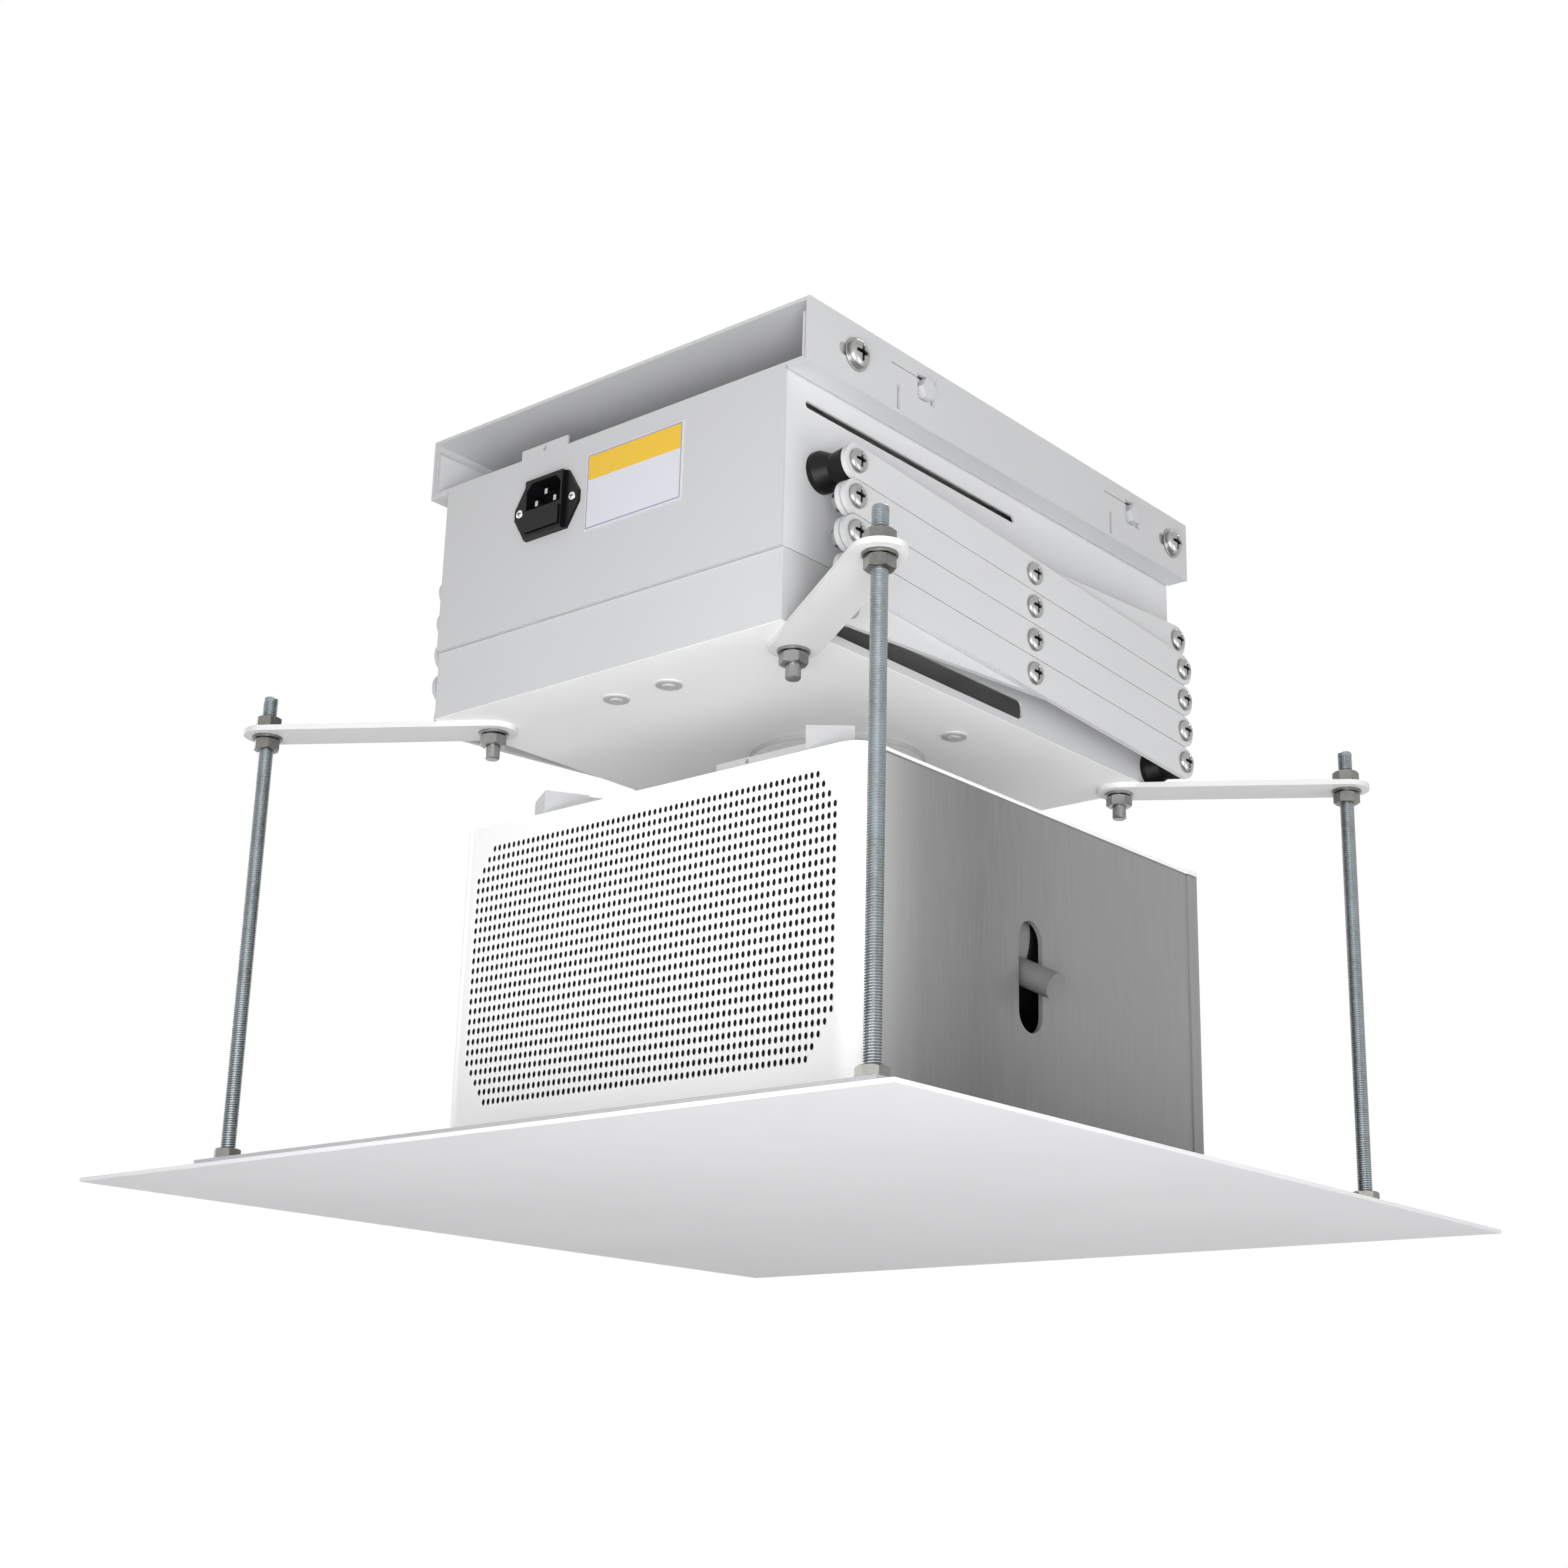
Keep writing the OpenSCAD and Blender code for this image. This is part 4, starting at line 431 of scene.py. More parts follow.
def cross_head(head_r, head_h, rings=22, columns=64):
    """Domed screw head with a cross recess. On a polar grid, whose last six rings make the rim,
    the height is a flattened dome, less a recess whose depth falls off smoothly across the arms
    of a cross and towards their ends. All shares are of the head's radius and height."""
    share = np.concatenate([np.linspace(0, 0.72, rings - 6), np.linspace(0.78, 1.0, 6)])[:, None]
    angle = np.arange(columns) * 2 * np.pi / columns
    x = share * np.cos(angle)
    y = share * np.sin(angle)
    dome = 0.36 + 0.64 * (1 - share ** 3.2) ** 0.62 + 0 * x
    off_arm = np.minimum(np.abs(x), np.abs(y))
    reach = np.maximum(np.abs(x), np.abs(y))
    arm_half_w, arm_l, depth = 0.17 - 0.10 * reach, 0.66, 0.86 - 0.5 * reach
    across = np.clip((arm_half_w - off_arm) / 0.05, 0, 1)
    along = np.clip((arm_l - reach) / 0.14, 0, 1)
    hollow = across * along * depth
    top = np.stack([x * head_r, y * head_r, (dome - hollow) * head_h], -1)
    rim = top[-1].copy()
    rim[:, 2] = 0
    foot = rim * [0.2, 0.2, 1]
    points = np.concatenate([foot[None], rim[None], top[::-1]]).reshape(-1, 3)
    deep = np.concatenate([np.zeros((2, columns)), np.clip(hollow * 1.6, 0, 1)[::-1]]).ravel()
    return Part(points, strip_faces(rings + 2, columns), deep)


def hex_nut(across, height, bore_r, columns=48):
    """Six-sided nut: its outer radius is half the flats over the cosine of the angle from the
    nearest flat. A cone cuts its corners at both ends, and a smaller one opens its bore."""
    angle = np.arange(columns) * 2 * np.pi / columns
    outer = across / 2 / np.cos(np.mod(angle, np.pi / 3) - np.pi / 6)
    cone_r, cone_slope = across / 2 * 0.96, 0.58
    drop = np.maximum(outer - cone_r, 0) * cone_slope
    flat = np.full(columns, cone_r)
    hole = np.full(columns, bore_r)
    mouth = np.full(columns, bore_r * 1.1)
    dip = bore_r * 0.1
    radii = np.stack([hole, mouth, flat, outer, outer, flat, mouth, hole, hole])
    zero = np.zeros(columns)
    heights = np.stack([zero + dip, zero, zero, drop, height - drop, zero + height,
                        zero + height, zero + height - dip, zero + dip])
    points = np.stack([radii * np.cos(angle), radii * np.sin(angle), heights], -1)
    return Part(points.reshape(-1, 3), strip_faces(len(radii), columns))


def washer(outer_r, bore_r, thick):
    """Flat washer with softened edges, as a closed profile turned about Z."""
    soft = min(thick, outer_r - bore_r) * 0.22
    return turned([(bore_r, soft), (bore_r + soft, 0), (outer_r - soft, 0), (outer_r, soft),
                   (outer_r, thick - soft), (outer_r - soft, thick), (bore_r + soft, thick),
                   (bore_r, thick - soft), (bore_r, soft)], 40)


def shank(radius, low, high, tip):
    """Plain shank from low to high, with its lower end cut by a cone of the tip given."""
    return turned([(0, low), (radius - tip, low), (radius, low + tip), (radius, high),
                   (0, high)], 32)


def thread(major_r, depth, low, high, pitch, columns=20, rows=3):
    """Helical thread about Z: each row of points climbs one pitch a turn, and the radius steps
    through crests and a root along the pitch. A short plug with a cone closes each end."""
    turns = int((high - low) / pitch) - 2
    i = np.arange(turns * rows + 1)[:, None]
    j = np.arange(columns)[None, :]
    angle = j * 2 * np.pi / columns
    z = low + pitch * (0.5 + i / rows + j / columns)
    radius = major_r - depth * (i % rows == rows - 1)
    body = np.stack([radius * np.cos(angle), radius * np.sin(angle), z], -1).reshape(-1, 3)
    plug_r, tip_r, cone = major_r * 0.99, (major_r - depth) * 0.92, pitch * 0.6
    first, last = low + pitch * 1.6, high - pitch * 2.2
    ends = [turned([(0, low), (tip_r, low), (plug_r, low + cone), (plug_r, first), (0, first)],
                   columns),
            turned([(0, last), (plug_r, last), (plug_r, high - cone), (tip_r, high), (0, high)],
                   columns)]
    return join([Part(body, strip_faces(turns * rows + 1, columns, True, rows)), *ends])


# Groups of pieces

SHEET_NODES = ("ceiling_channel", "hook_bolts", "housing_cover", "trim_frame")
ARM_NODES = tuple(f"{side}_arms_{k}" for side in ("outer", "inner") for k in range(1, 5))

# Shares of the powder coat's colour on the channel and tray, arms, housing's end and mount: darker
# copies of the one coat, which paint shade
CHANNEL_SHARE = 0.88
ARM_SHARE = 0.96
END_PLATE_SHADE = CHANNEL_SHARE * 0.96
MOUNT_SHADE = CHANNEL_SHARE * 0.84
MOUNT_EDGE_SHADE = CHANNEL_SHARE * 0.75

# Shares of the painted light's colour on the outriggers, and in the dimples of the tray's
# underside, where half of it paints shade
OUTRIGGER_LIGHT = 0.82
DIMPLE_SHADE = 0.5

# The trim panel is more matt than the baked sheets
TRIM_ROUGH = 0.72

# Round plate of the projector mount under the tray
MOUNT_PLATE_D = 100 * MM
MOUNT_PLATE_T = 3 * MM


class LIFT_OT_sheet_metal(Operator):
    """Gives the channel, housing, arms, tray, mount and trim their baked coat, with lighter and
    darker copies of it that paint light and shade.
    """
    bl_idname = "lift.sheet_metal"
    bl_label = "Coat the sheet metal"

    def execute(self, context):
        powder, light, inside = colours().powder, colours().light, colours().inside
        # Painted shade: the channel, tray and arms take darker copies of the one powder coat
        channel = shade(powder, CHANNEL_SHARE)
        coat(powder_coat("powder_coat", channel), *SHEET_NODES)
        coat(powder_coat("arm_coat_shaded", shade(powder, ARM_SHARE)), *ARM_NODES)
        # Painted light: the outriggers take a copy of the paler painted light
        coat(powder_coat("outrigger_painted_light", shade(light, OUTRIGGER_LIGHT)), "outrigger_arms")
        coat(powder_coat("trim_paint", colours().trim, TRIM_ROUGH), "trim_panel")
        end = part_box("motor_housing")[0][0] + SHEET
        coat(powder_coat("housing_coat_end_shade", powder, layers=[
            # Painted shade: the housing's end plate is darker than its sides, to offset the
            # stronger light on it
            (shade(powder, END_PLATE_SHADE), lambda x, y, z: x < end),
        ]), "motor_housing")
        low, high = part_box("platform_tray")
        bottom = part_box("outrigger_arms")[1][2]
        skin = SHEET * 0.9
        coat(powder_coat("tray_coat_light_and_shade", channel, layers=[
            # Painted light: the tray's underside takes the paler light colour, brighter than the
            # tray's sides
            (light, lambda x, y, z: z < bottom + SHEET / 4),
            # Painted shade: the dimples below the tray's underside take half of the painted light
            (shade(light, DIMPLE_SHADE), lambda x, y, z: z < bottom - SHEET / 8),
            # Painted shade: the tray's inner faces turn near black for the shade inside the tray
            (inside, lambda x, y, z:
             (x > low[0] + skin) * (abs(y) < high[1] - skin) * (z > bottom + skin)),
        ]), "platform_tray")
        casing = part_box("projector_casing")
        plate_x = (casing[0][0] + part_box("lens_panel")[1][0]) / 2
        plate_y = (casing[0][1] + casing[1][1]) / 2
        plate_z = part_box("projector_mount")[1][2] - MOUNT_PLATE_T - SHEET / 8
        plate_r = MOUNT_PLATE_D / 2 - SHEET / 4
        # Painted light and shade: the mount is a darker copy of the powder coat, its round plate
        # takes the paler painted light, and the plate's edge painted shade
        coat(powder_coat("mount_coat_light_and_shade", shade(powder, MOUNT_SHADE), layers=[
            (light, lambda x, y, z: z > plate_z),
            (shade(powder, MOUNT_EDGE_SHADE), lambda x, y, z:
             (z > plate_z) * ((x - plate_x) ** 2 + (y - plate_y) ** 2 > plate_r ** 2)),
        ]), "projector_mount")
        return {"FINISHED"}


class LIFT_OT_mouldings(Operator):
    """Gives the spools, fan and limit switches their black nylon, and the focus ring its grey."""
    bl_idname = "lift.mouldings"
    bl_label = "Finish the mouldings"

    def execute(self, context):
        coat(moulded("black_nylon", colours().nylon, 0.42, level=0.22),
             "upper_rollers", "lower_rollers", "top_pivot_spacers", "tray_pivot_spacers",
             "limit_switches", "fan_frame", "fan_rotor")
        coat(moulded("focus_ring_grey", colours().ring, 0.4), "focus_ring")
        return {"FINISHED"}


# Lead screw's thread, which stays a hair inside its CAD solid
SCREW_THREAD_DEPTH = 1.1 * MM
SCREW_PITCH = 4 * MM
SCREW_PLAY = 0.01 * MM

# Colours of the drive's metals, motor and control board
DRIVE_ZINC = (0.46, 0.47, 0.45)
BEARING_IRON = (0.20, 0.20, 0.21)
NUT_BRONZE = (0.55, 0.38, 0.16)
COUPLING_ALLOY = (0.50, 0.52, 0.56)
MOTOR_ENAMEL = (0.05, 0.055, 0.065)
BOARD_MASK = (0.012, 0.085, 0.035)
BOARD_TRACK = (0.03, 0.17, 0.07)
BOARD_PART = (0.04, 0.042, 0.05)

# The control board's own parts stand above this height from the bottom of its posts
BOARD_TOP = (6.1 * MM, 6.4 * MM)


class LIFT_OT_drive(Operator):
    """Finishes the motor, lead screw, carriage, bearings and board inside the housing."""
    bl_idname = "lift.drive"
    bl_label = "Finish the drive"

    def execute(self, context):
        zinc = plated_steel("drive_zinc", DRIVE_ZINC, 0.36)
        coat(zinc, "motor_bracket", "carriage_bar", "slider_bar")
        coat(plated_steel("ground_rod", colours().stainless, 0.2, grain=(0.1, 1, 1)),
             "guide_rods")
        coat(plated_steel("bearing_iron", BEARING_IRON, 0.5), "screw_bearings")
        coat(plated_steel("nut_bronze", NUT_BRONZE, 0.34, tint=(1.02, 1.0, 0.9)), "drive_nut")
        coat(plated_steel("coupling_alloy", COUPLING_ALLOY, 0.3), "shaft_coupling")
        coat(powder_coat("motor_enamel", MOTOR_ENAMEL, 0.38), "gear_motor")
        coat(self.board_mask(), "control_board")
        low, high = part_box("lead_screw")
        rod = thread((high[1] - low[1]) / 2 - SCREW_PLAY, SCREW_THREAD_DEPTH, 0.0,
                     high[0] - low[0], SCREW_PITCH, columns=24, rows=4)
        piece("lead_screw_thread", aimed(rod, (low[0], 0.0, row_z(1)), (1, 0, 0)), zinc,
              "lead_screw", "lead_screw", slot="zinc_steel")
        return {"FINISHED"}

    def board_mask(self):
        """Green mask with a net of paler tracks, and dark parts above it."""
        r = Recipe("control_board_mask")
        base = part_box("control_board")[0][2]
        part = r.axes()[2].ramp(base + BOARD_TOP[0], base + BOARD_TOP[1])
        track = r.node("ShaderNodeTexBrick", {"offset": 0.5}, {
            "Vector": r.place(), "Scale": 160.0, "Mortar Size": 0.03}, "Fac") * (1 - part)
        r.set(Base_Color=r.mix(part, r.mix(track, BOARD_MASK, BOARD_TRACK), BOARD_PART),
              Roughness=0.4)
        return r.material


class LIFT_OT_casing(Operator):
    """Paints the projector casing: white in front, turning to satin silver along its sides."""
    bl_idname = "lift.casing"
    bl_label = "Paint the casing"

    def execute(self, context):
        coat(casing_paint_and_painted_light("casing_paint_and_painted_light"), "projector_casing", "lens_panel")
        return {"FINISHED"}


# Painted light and shade along the casing's side, a painted highlight next to the front corner and
# painted shade behind it: share of its length, share of its colour; and where it starts
SIDE_LIGHT_AND_SHADE = [(0.0, 1.40), (0.064, 0.96), (0.13, 0.68), (0.29, 0.50), (0.36, 0.55),
              (0.60, 0.73), (1.0, 0.84)]
SIDE_START = 12 * MM

# The front's white fades into the side's silver between these distances behind it, over the
# rounded corner, painting the corner's shade
WHITE_FADE = (3.5 * MM, 13.5 * MM)

# Distances below the casing's top: the dark joint's soft ends, and the white edge, a painted
# highlight
JOINT_FADE = (3.4 * MM, 2.6 * MM)
TOP_EDGE_HIGHLIGHT = 1.8 * MM


def casing_paint_and_painted_light(name):
    """Satin paint: white up to the front corners' rounding, then silver with painted light and
    shade along X, a painted highlight near the front corner and painted shade behind it, and fine
    upright grain. The top and its folded edge are white, which paints a highlight along the edge,
    with a thin dark joint under the edge."""
    low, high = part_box("projector_casing")
    r = Recipe(name)
    x, _, z = r.axes()
    side, front = colours().side, colours().front
    start = low[0] + SIDE_START
    # Painted light and shade along the side: the first stop is a painted highlight, the lower ones
    # painted shade
    stops = [(at, shade(side, share)) for at, share in SIDE_LIGHT_AND_SHADE]
    tone = r.node("ShaderNodeValToRGB", {"stops": stops}, {0: (x - start) / (high[0] - start)})
    grain = r.noise(scale=700.0, at=r.stretched(1, 1, 0.04))
    tone = r.mix(grain.ramp(0.3, 0.8) * 0.10, tone, shade(side, 1.5))
    joint = z.ramp(high[2] - JOINT_FADE[0], high[2] - JOINT_FADE[1])
    tone = r.mix(joint, tone, shade(side, 0.55))
    # Painted highlight: a white band along the casing's top edge
    tone = r.mix(z > high[2] - TOP_EDGE_HIGHLIGHT, tone, front)
    white = 1 - x.ramp(low[0] + WHITE_FADE[0], low[0] + WHITE_FADE[1])
    r.set(Base_Color=r.mix(white, tone, front), Roughness=0.34 + grain * 0.1,
          Normal=r.bump(r.noise(scale=1000.0, detail=1.5), distance=0.04 * MM, strength=0.3),
          Specular_IOR_Level=0.4)
    return r.material


# Grille: margin for the casing's rounded corners, how far it stands before the casing, depth of
# its holes' walls, and how far the filter lies behind the panel's front
FRONT_CORNER = 14 * MM
GRILLE_PROUD = 0.02 * MM
HOLE_WALL = 0.9 * MM
FILTER_BACK = 1.3 * MM

# Missing holes along the field's edge at its lower and its upper corners
LOW_CORNER_CUT = 4
HIGH_CORNER_CUT = 3


class LIFT_OT_grille(Operator):
    """Makes the perforated front of the casing, with a dust filter behind its holes."""
    bl_idname = "lift.grille"
    bl_label = "Make the grille"

    def execute(self, context):
        s = sizes()
        low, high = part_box("projector_casing")
        field = ((low[1] + s.grille_near, low[2] + s.grille_bottom),
                 (high[1] - s.grille_far, high[2] - s.grille_top))
        face = (low[1] + FRONT_CORNER, high[1] - FRONT_CORNER, low[2], high[2])
        front = perforated_face(*field, s.grille_rows, s.grille_columns, s.hole_w, s.hole_h,
                                face, low[0] - GRILLE_PROUD, HOLE_WALL)
        back = filter_sheet(*field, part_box("grille_panel")[0][0] + FILTER_BACK)
        paint = powder_coat("grille_paint", colours().front, 0.4)
        foam = dust_filter("filter_foam_and_hole_shade")
        # The holes' walls take the dark filter foam as painted shade in the holes
        piece("grille_front", front, paint, "platform", "grille_panel", smooth=False,
              slot="casing_white", inner=foam)
        piece("dust_filter", back, foam, "platform", smooth=False, slot="black_nylon")
        return {"FINISHED"}


def perforated_face(low, high, rows, columns, hole_w, hole_h, face, x, depth):
    """Flat front with rows and columns of holes. The eight rim points of each rectangular cell
    join an eight-sided hole whose half width and height scale the same directions, and each hole
    has a wall of the depth given, painted dark as shade in the hole. Cells whose row and column,
    counted from the field's corner, add up to less than the cut have no hole."""
    pitch_y = (high[0] - low[0]) / columns
    pitch_z = (high[1] - low[1]) / rows
    i, j = np.meshgrid(np.arange(rows), np.arange(columns), indexing="ij")
    side = np.minimum(j, columns - 1 - j)
    pierced = (i + side >= LOW_CORNER_CUT) & (rows - 1 - i + side >= HIGH_CORNER_CUT)
    pierced = pierced.ravel()
    y = (low[0] + (j + 0.5) * pitch_y).ravel()[:, None]
    z = (low[1] + (i + 0.5) * pitch_z).ravel()[:, None]
    rim = np.array([(-1, -1), (0, -1), (1, -1), (1, 0), (1, 1), (0, 1), (-1, 1), (-1, 0)], float)
    turn = np.radians([225, 270, 315, 0, 45, 90, 135, 180])
    outer = np.stack([y + rim[:, 0] * pitch_y / 2, z + rim[:, 1] * pitch_z / 2], -1)
    inner = np.stack([y + np.cos(turn) * hole_w / 2, z + np.sin(turn) * hole_h / 2], -1)

    def flat(points, at):
        """The points of Y and Z, at one X."""
        return np.concatenate([np.full((*points.shape[:-1], 1), at), points], -1)

    holes = int(pierced.sum())
    cell = np.concatenate([flat(outer[pierced], x), flat(inner[pierced], x),
                           flat(inner[pierced], x + depth)], 1)
    k = np.arange(8)
    n = (k + 1) % 8
    quads = np.concatenate([np.stack([k, k + 8, n + 8, n], -1),
                            np.stack([k + 8, k + 16, n + 16, n + 8], -1)])
    quads = (quads[None] + np.arange(holes)[:, None, None] * 24).reshape(-1, 4)
    cells = Part(cell.reshape(-1, 3), quads, index=np.tile(np.repeat([0, 1], 8), holes))
    plain = flat(outer[~pierced][:, [0, 2, 4, 6]], x).reshape(-1, 3)
    plain = Part(plain, np.arange(len(plain)).reshape(-1, 4)[:, [0, 3, 2, 1]])
    boxes = np.array([[face[0], low[1], low[0], high[1]], [high[0], low[1], face[1], high[1]],
                      [face[0], face[2], face[1], low[1]], [face[0], high[1], face[1], face[3]]])
    edge = boxes[:, [0, 1, 0, 3, 2, 3, 2, 1]].reshape(-1, 4, 2)
    margin = Part(flat(edge, x).reshape(-1, 3), np.arange(len(boxes) * 4).reshape(-1, 4))
    return join([cells, plain, margin])


def filter_sheet(low, high, x):
    """Flat rectangle on a grid of four by four cells."""
    y, z = np.meshgrid(*np.linspace(low, high, 5).T, indexing="ij")
    points = np.stack([x + 0 * y, y, z], -1).reshape(-1, 3)
    return Part(points, strip_faces(5, 5, False)[:, ::-1])


def dust_filter(name):
    """Open foam: small dark cells with paler walls."""
    r = Recipe(name)
    base = colours().filter
    cells = r.node("ShaderNodeTexVoronoi", {"feature": "F1"}, {
        "Vector": r.place(), "Scale": 700.0})
    r.set(Base_Color=r.mix(cells.ramp(0.1, 0.6), base, shade(base, 2.2)), Roughness=0.9,
          Normal=r.bump(cells, distance=0.3 * MM, strength=0.6))
    return r.material


class LIFT_OT_rods(Operator):
    """Makes the four threaded rods with their real helical thread."""
    bl_idname = "lift.rods"
    bl_label = "Cut the rods' threads"

    def execute(self, context):
        s = sizes()
        low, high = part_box("threaded_rods")
        radius = s.rod_d / 2
        rod = thread(radius, s.thread_depth, low[2], high[2], s.thread_pitch)
        piece("rod_threads", at_corners(rod, high[0] - radius, high[0] - radius),
              plated_steel("blue_zinc", colours().zinc, 0.34), "panel", "threaded_rods",
              slot="zinc_steel")
        return {"FINISHED"}


# Gaps that keep faces of the hardware apart
FACE_GAP = 0.04 * MM
BORE_GAP = 0.05 * MM

# Outrigger bolts: the head's radii and heights in millimetres, how far the shank runs into it,
# the shank's cone, and how much lower their nuts are than the rods' nuts
FLAT_HEAD = [(0, 0), (8, 0), (8, 1.2), (6.6, 2.2), (4, 2.6), (0, 2.6)]
SHANK_RISE = 1 * MM
SHANK_CONE = 0.8 * MM
NUT_CUT = 0.2 * MM


class LIFT_OT_rod_nuts(Operator):
    """Makes the nuts and washers on the rods and the bolts that hold the outrigger bars."""
    bl_idname = "lift.rod_nuts"
    bl_label = "Make the rod nuts"

    def execute(self, context):
        s = sizes()
        r = s.rod_d / 2
        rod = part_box("threaded_rods")[1][0] - r
        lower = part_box("rod_lower_nuts")
        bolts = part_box("outrigger_bolts")
        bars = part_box("outrigger_arms")
        over, under = bars[1][2], bars[0][2] - s.washer_t
        nut = hex_nut(s.nut_af, s.nut_h, r)
        ring = washer(s.washer_d / 2, r + BORE_GAP, s.washer_t)
        head = turned(np.array(FLAT_HEAD) * MM, 40)

        def stack(*entries):
            return join([part.moved(0, 0, z) for part, z in entries])

        upper_set = stack((ring, over), (nut, over + s.washer_t + FACE_GAP),
                          (ring, under), (nut, under - s.nut_h - FACE_GAP))
        lower_set = stack((nut, lower[1][2] - s.nut_h), (nut, lower[0][2]))
        bolt_set = stack((ring, under),
                         (hex_nut(s.nut_af, s.nut_h - NUT_CUT, r), under - s.nut_h),
                         (shank(r, bolts[0][2], over + SHANK_RISE, SHANK_CONE), 0.0),
                         (head, bolts[1][2] - FLAT_HEAD[-1][1] * MM))
        plate = plated_steel("nut_zinc", colours().nut, 0.36, tint=(1.0, 1.0, 0.96))
        bright = plated_steel("bright_bolt", shade(colours().stainless, 0.85), 0.28)
        piece("rod_nuts_upper", at_corners(upper_set, rod, rod), plate, "platform",
              "rod_upper_nuts", slot="zinc_steel")
        piece("rod_nuts_lower", at_corners(lower_set, rod, rod), plate, "panel",
              "rod_lower_nuts", slot="zinc_steel")
        bolt_set = at_corners(bolt_set, bolts[1][0] - s.washer_d / 2,
                              bolts[1][1] - s.washer_d / 2)
        piece("outrigger_bolt_set", bolt_set, bright, "platform", "outrigger_bolts",
              slot="stainless")
        return {"FINISHED"}


# How far a shank runs up into its head, and the cone at a screw's tip
HEAD_GRIP = 0.2 * MM
TIP_CONE = 0.5 * MM


def side_screws(places, seat_y, tip_y, head_d, head_h, shank_d, nut=None, ring=None):
    """Screws along Y on both sides of the lift. Each place is an X and Z; the head sits at seat_y
    and the shank runs in to tip_y, both counted outwards. A nut has its width, inner face and
    height, a ring its diameter and thickness."""
    parts = [cross_head(head_d / 2, head_h),
             shank(shank_d / 2, tip_y - seat_y, HEAD_GRIP, TIP_CONE)]
    if nut:
        parts.append(hex_nut(nut[0], nut[2], shank_d / 2).moved(0, 0, nut[1] - seat_y))
    if ring:
        parts.append(washer(ring[0] / 2, shank_d / 2, ring[1]).moved(0, 0, -ring[1]))
    one = join(parts)
    return join([aimed(one, (x, side * seat_y, z), (0, side, 0))
                 for x, z in places for side in (-1, 1)])


# Lock nuts of the pivot and channel screws, and the thread that stands out of a pivot's nut
LOCK_NUT_W = 10 * MM
LOCK_NUT_H = 5 * MM
NUT_GRIP = 0.5 * MM

# Length of the screws without a nut, and how far the channel bolts reach behind the hangers
AXLE_SCREW_REACH = 21.2 * MM
CHANNEL_TIP = 7 * MM


class LIFT_OT_screws(Operator):
    """Makes the cross-recessed pivot screws, their nuts and the channel's bolts."""
    bl_idname = "lift.screws"
    bl_label = "Make the screws"

    def execute(self, context):
        s = sizes()
        steel = plated_steel("stainless_screw_recess_shade", colours().stainless, 0.27, recessed=True)

        def group(name, body, node, places, nut_face=None):
            """Pivot screws of one node; nut_face is where the nut's outer face lies, if any."""
            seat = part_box(node)[1][1] - s.head_h
            tip, nut = seat - AXLE_SCREW_REACH, None
            if nut_face is not None:
                tip = nut_face - LOCK_NUT_H - NUT_GRIP
                nut = (LOCK_NUT_W, nut_face - LOCK_NUT_H, LOCK_NUT_H)
            part = side_screws(places, seat, tip, s.head_d, s.head_h, s.shank_d, nut)
            piece(name, part, steel, body, node, slot="stainless")

        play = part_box("pivot_screws_1")[1][1] - s.head_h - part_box("outer_arms_1")[1][1]
        arm_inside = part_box("inner_arms_1")[1][1] - s.arm_t - play
        for k in range(1, 5):
            places = [(MIDDLE_X, row_z(k + 0.5))]
            places += [(LEFT_X, row_z(k))] if k > 1 else []
            places += [(RIGHT_X, row_z(k + 1))] if k < 4 else []
            group(f"arm_screws_{k}", f"outer_arm_{k}", f"pivot_screws_{k}", places, arm_inside)
        group("top_screws", "root", "top_pivot_screws", [(RIGHT_X, row_z(1))],
              HOUSING_WALL_Y - SHEET)
        group("tray_screws", "platform", "tray_pivot_screws", [(RIGHT_X, row_z(5))],
              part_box("platform_tray")[1][1] - SHEET)
        group("carriage_axle_screws", "carriage", "carriage_screws", [(LEFT_X, row_z(1))])
        group("slider_axle_screws", "slider", "slider_screws", [(LEFT_X, row_z(5))])
        low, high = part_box("channel_bolts")
        z = (low[2] + high[2]) / 2
        places = [(low[0] + s.bolt_washer_d / 2, z), (high[0] - s.bolt_washer_d / 2, z)]
        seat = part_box("ceiling_channel")[1][1] + s.bolt_washer_t
        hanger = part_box("motor_housing")[1][1] - SHEET
        part = side_screws(places, seat, hanger - CHANNEL_TIP, s.bolt_head_d, s.bolt_head_h,
                           s.shank_d, (LOCK_NUT_W, hanger - LOCK_NUT_H, LOCK_NUT_H),
                           (s.bolt_washer_d, s.bolt_washer_t - FACE_GAP))
        piece("channel_bolt_set", part, steel, "root", "channel_bolts", slot="stainless")
        coat(plated_steel("small_screw", colours().stainless, 0.3), "mount_screws")
        return {"FINISHED"}


# Inlet screws, and the fuse's cap, which starts at this distance from its middle
INLET_HEAD_H = 1.2 * MM
INLET_SCREW_R = 1.75 * MM
INLET_TIP_CONE = 0.4 * MM
FUSE_CAP = (5.0 * MM, 5.3 * MM)

INLET_PIN = (0.50, 0.49, 0.46)
EAR_SCREW = (0.74, 0.73, 0.70)
FUSE_GLASS = (0.62, 0.68, 0.66)
FUSE_METAL = (0.70, 0.68, 0.62)


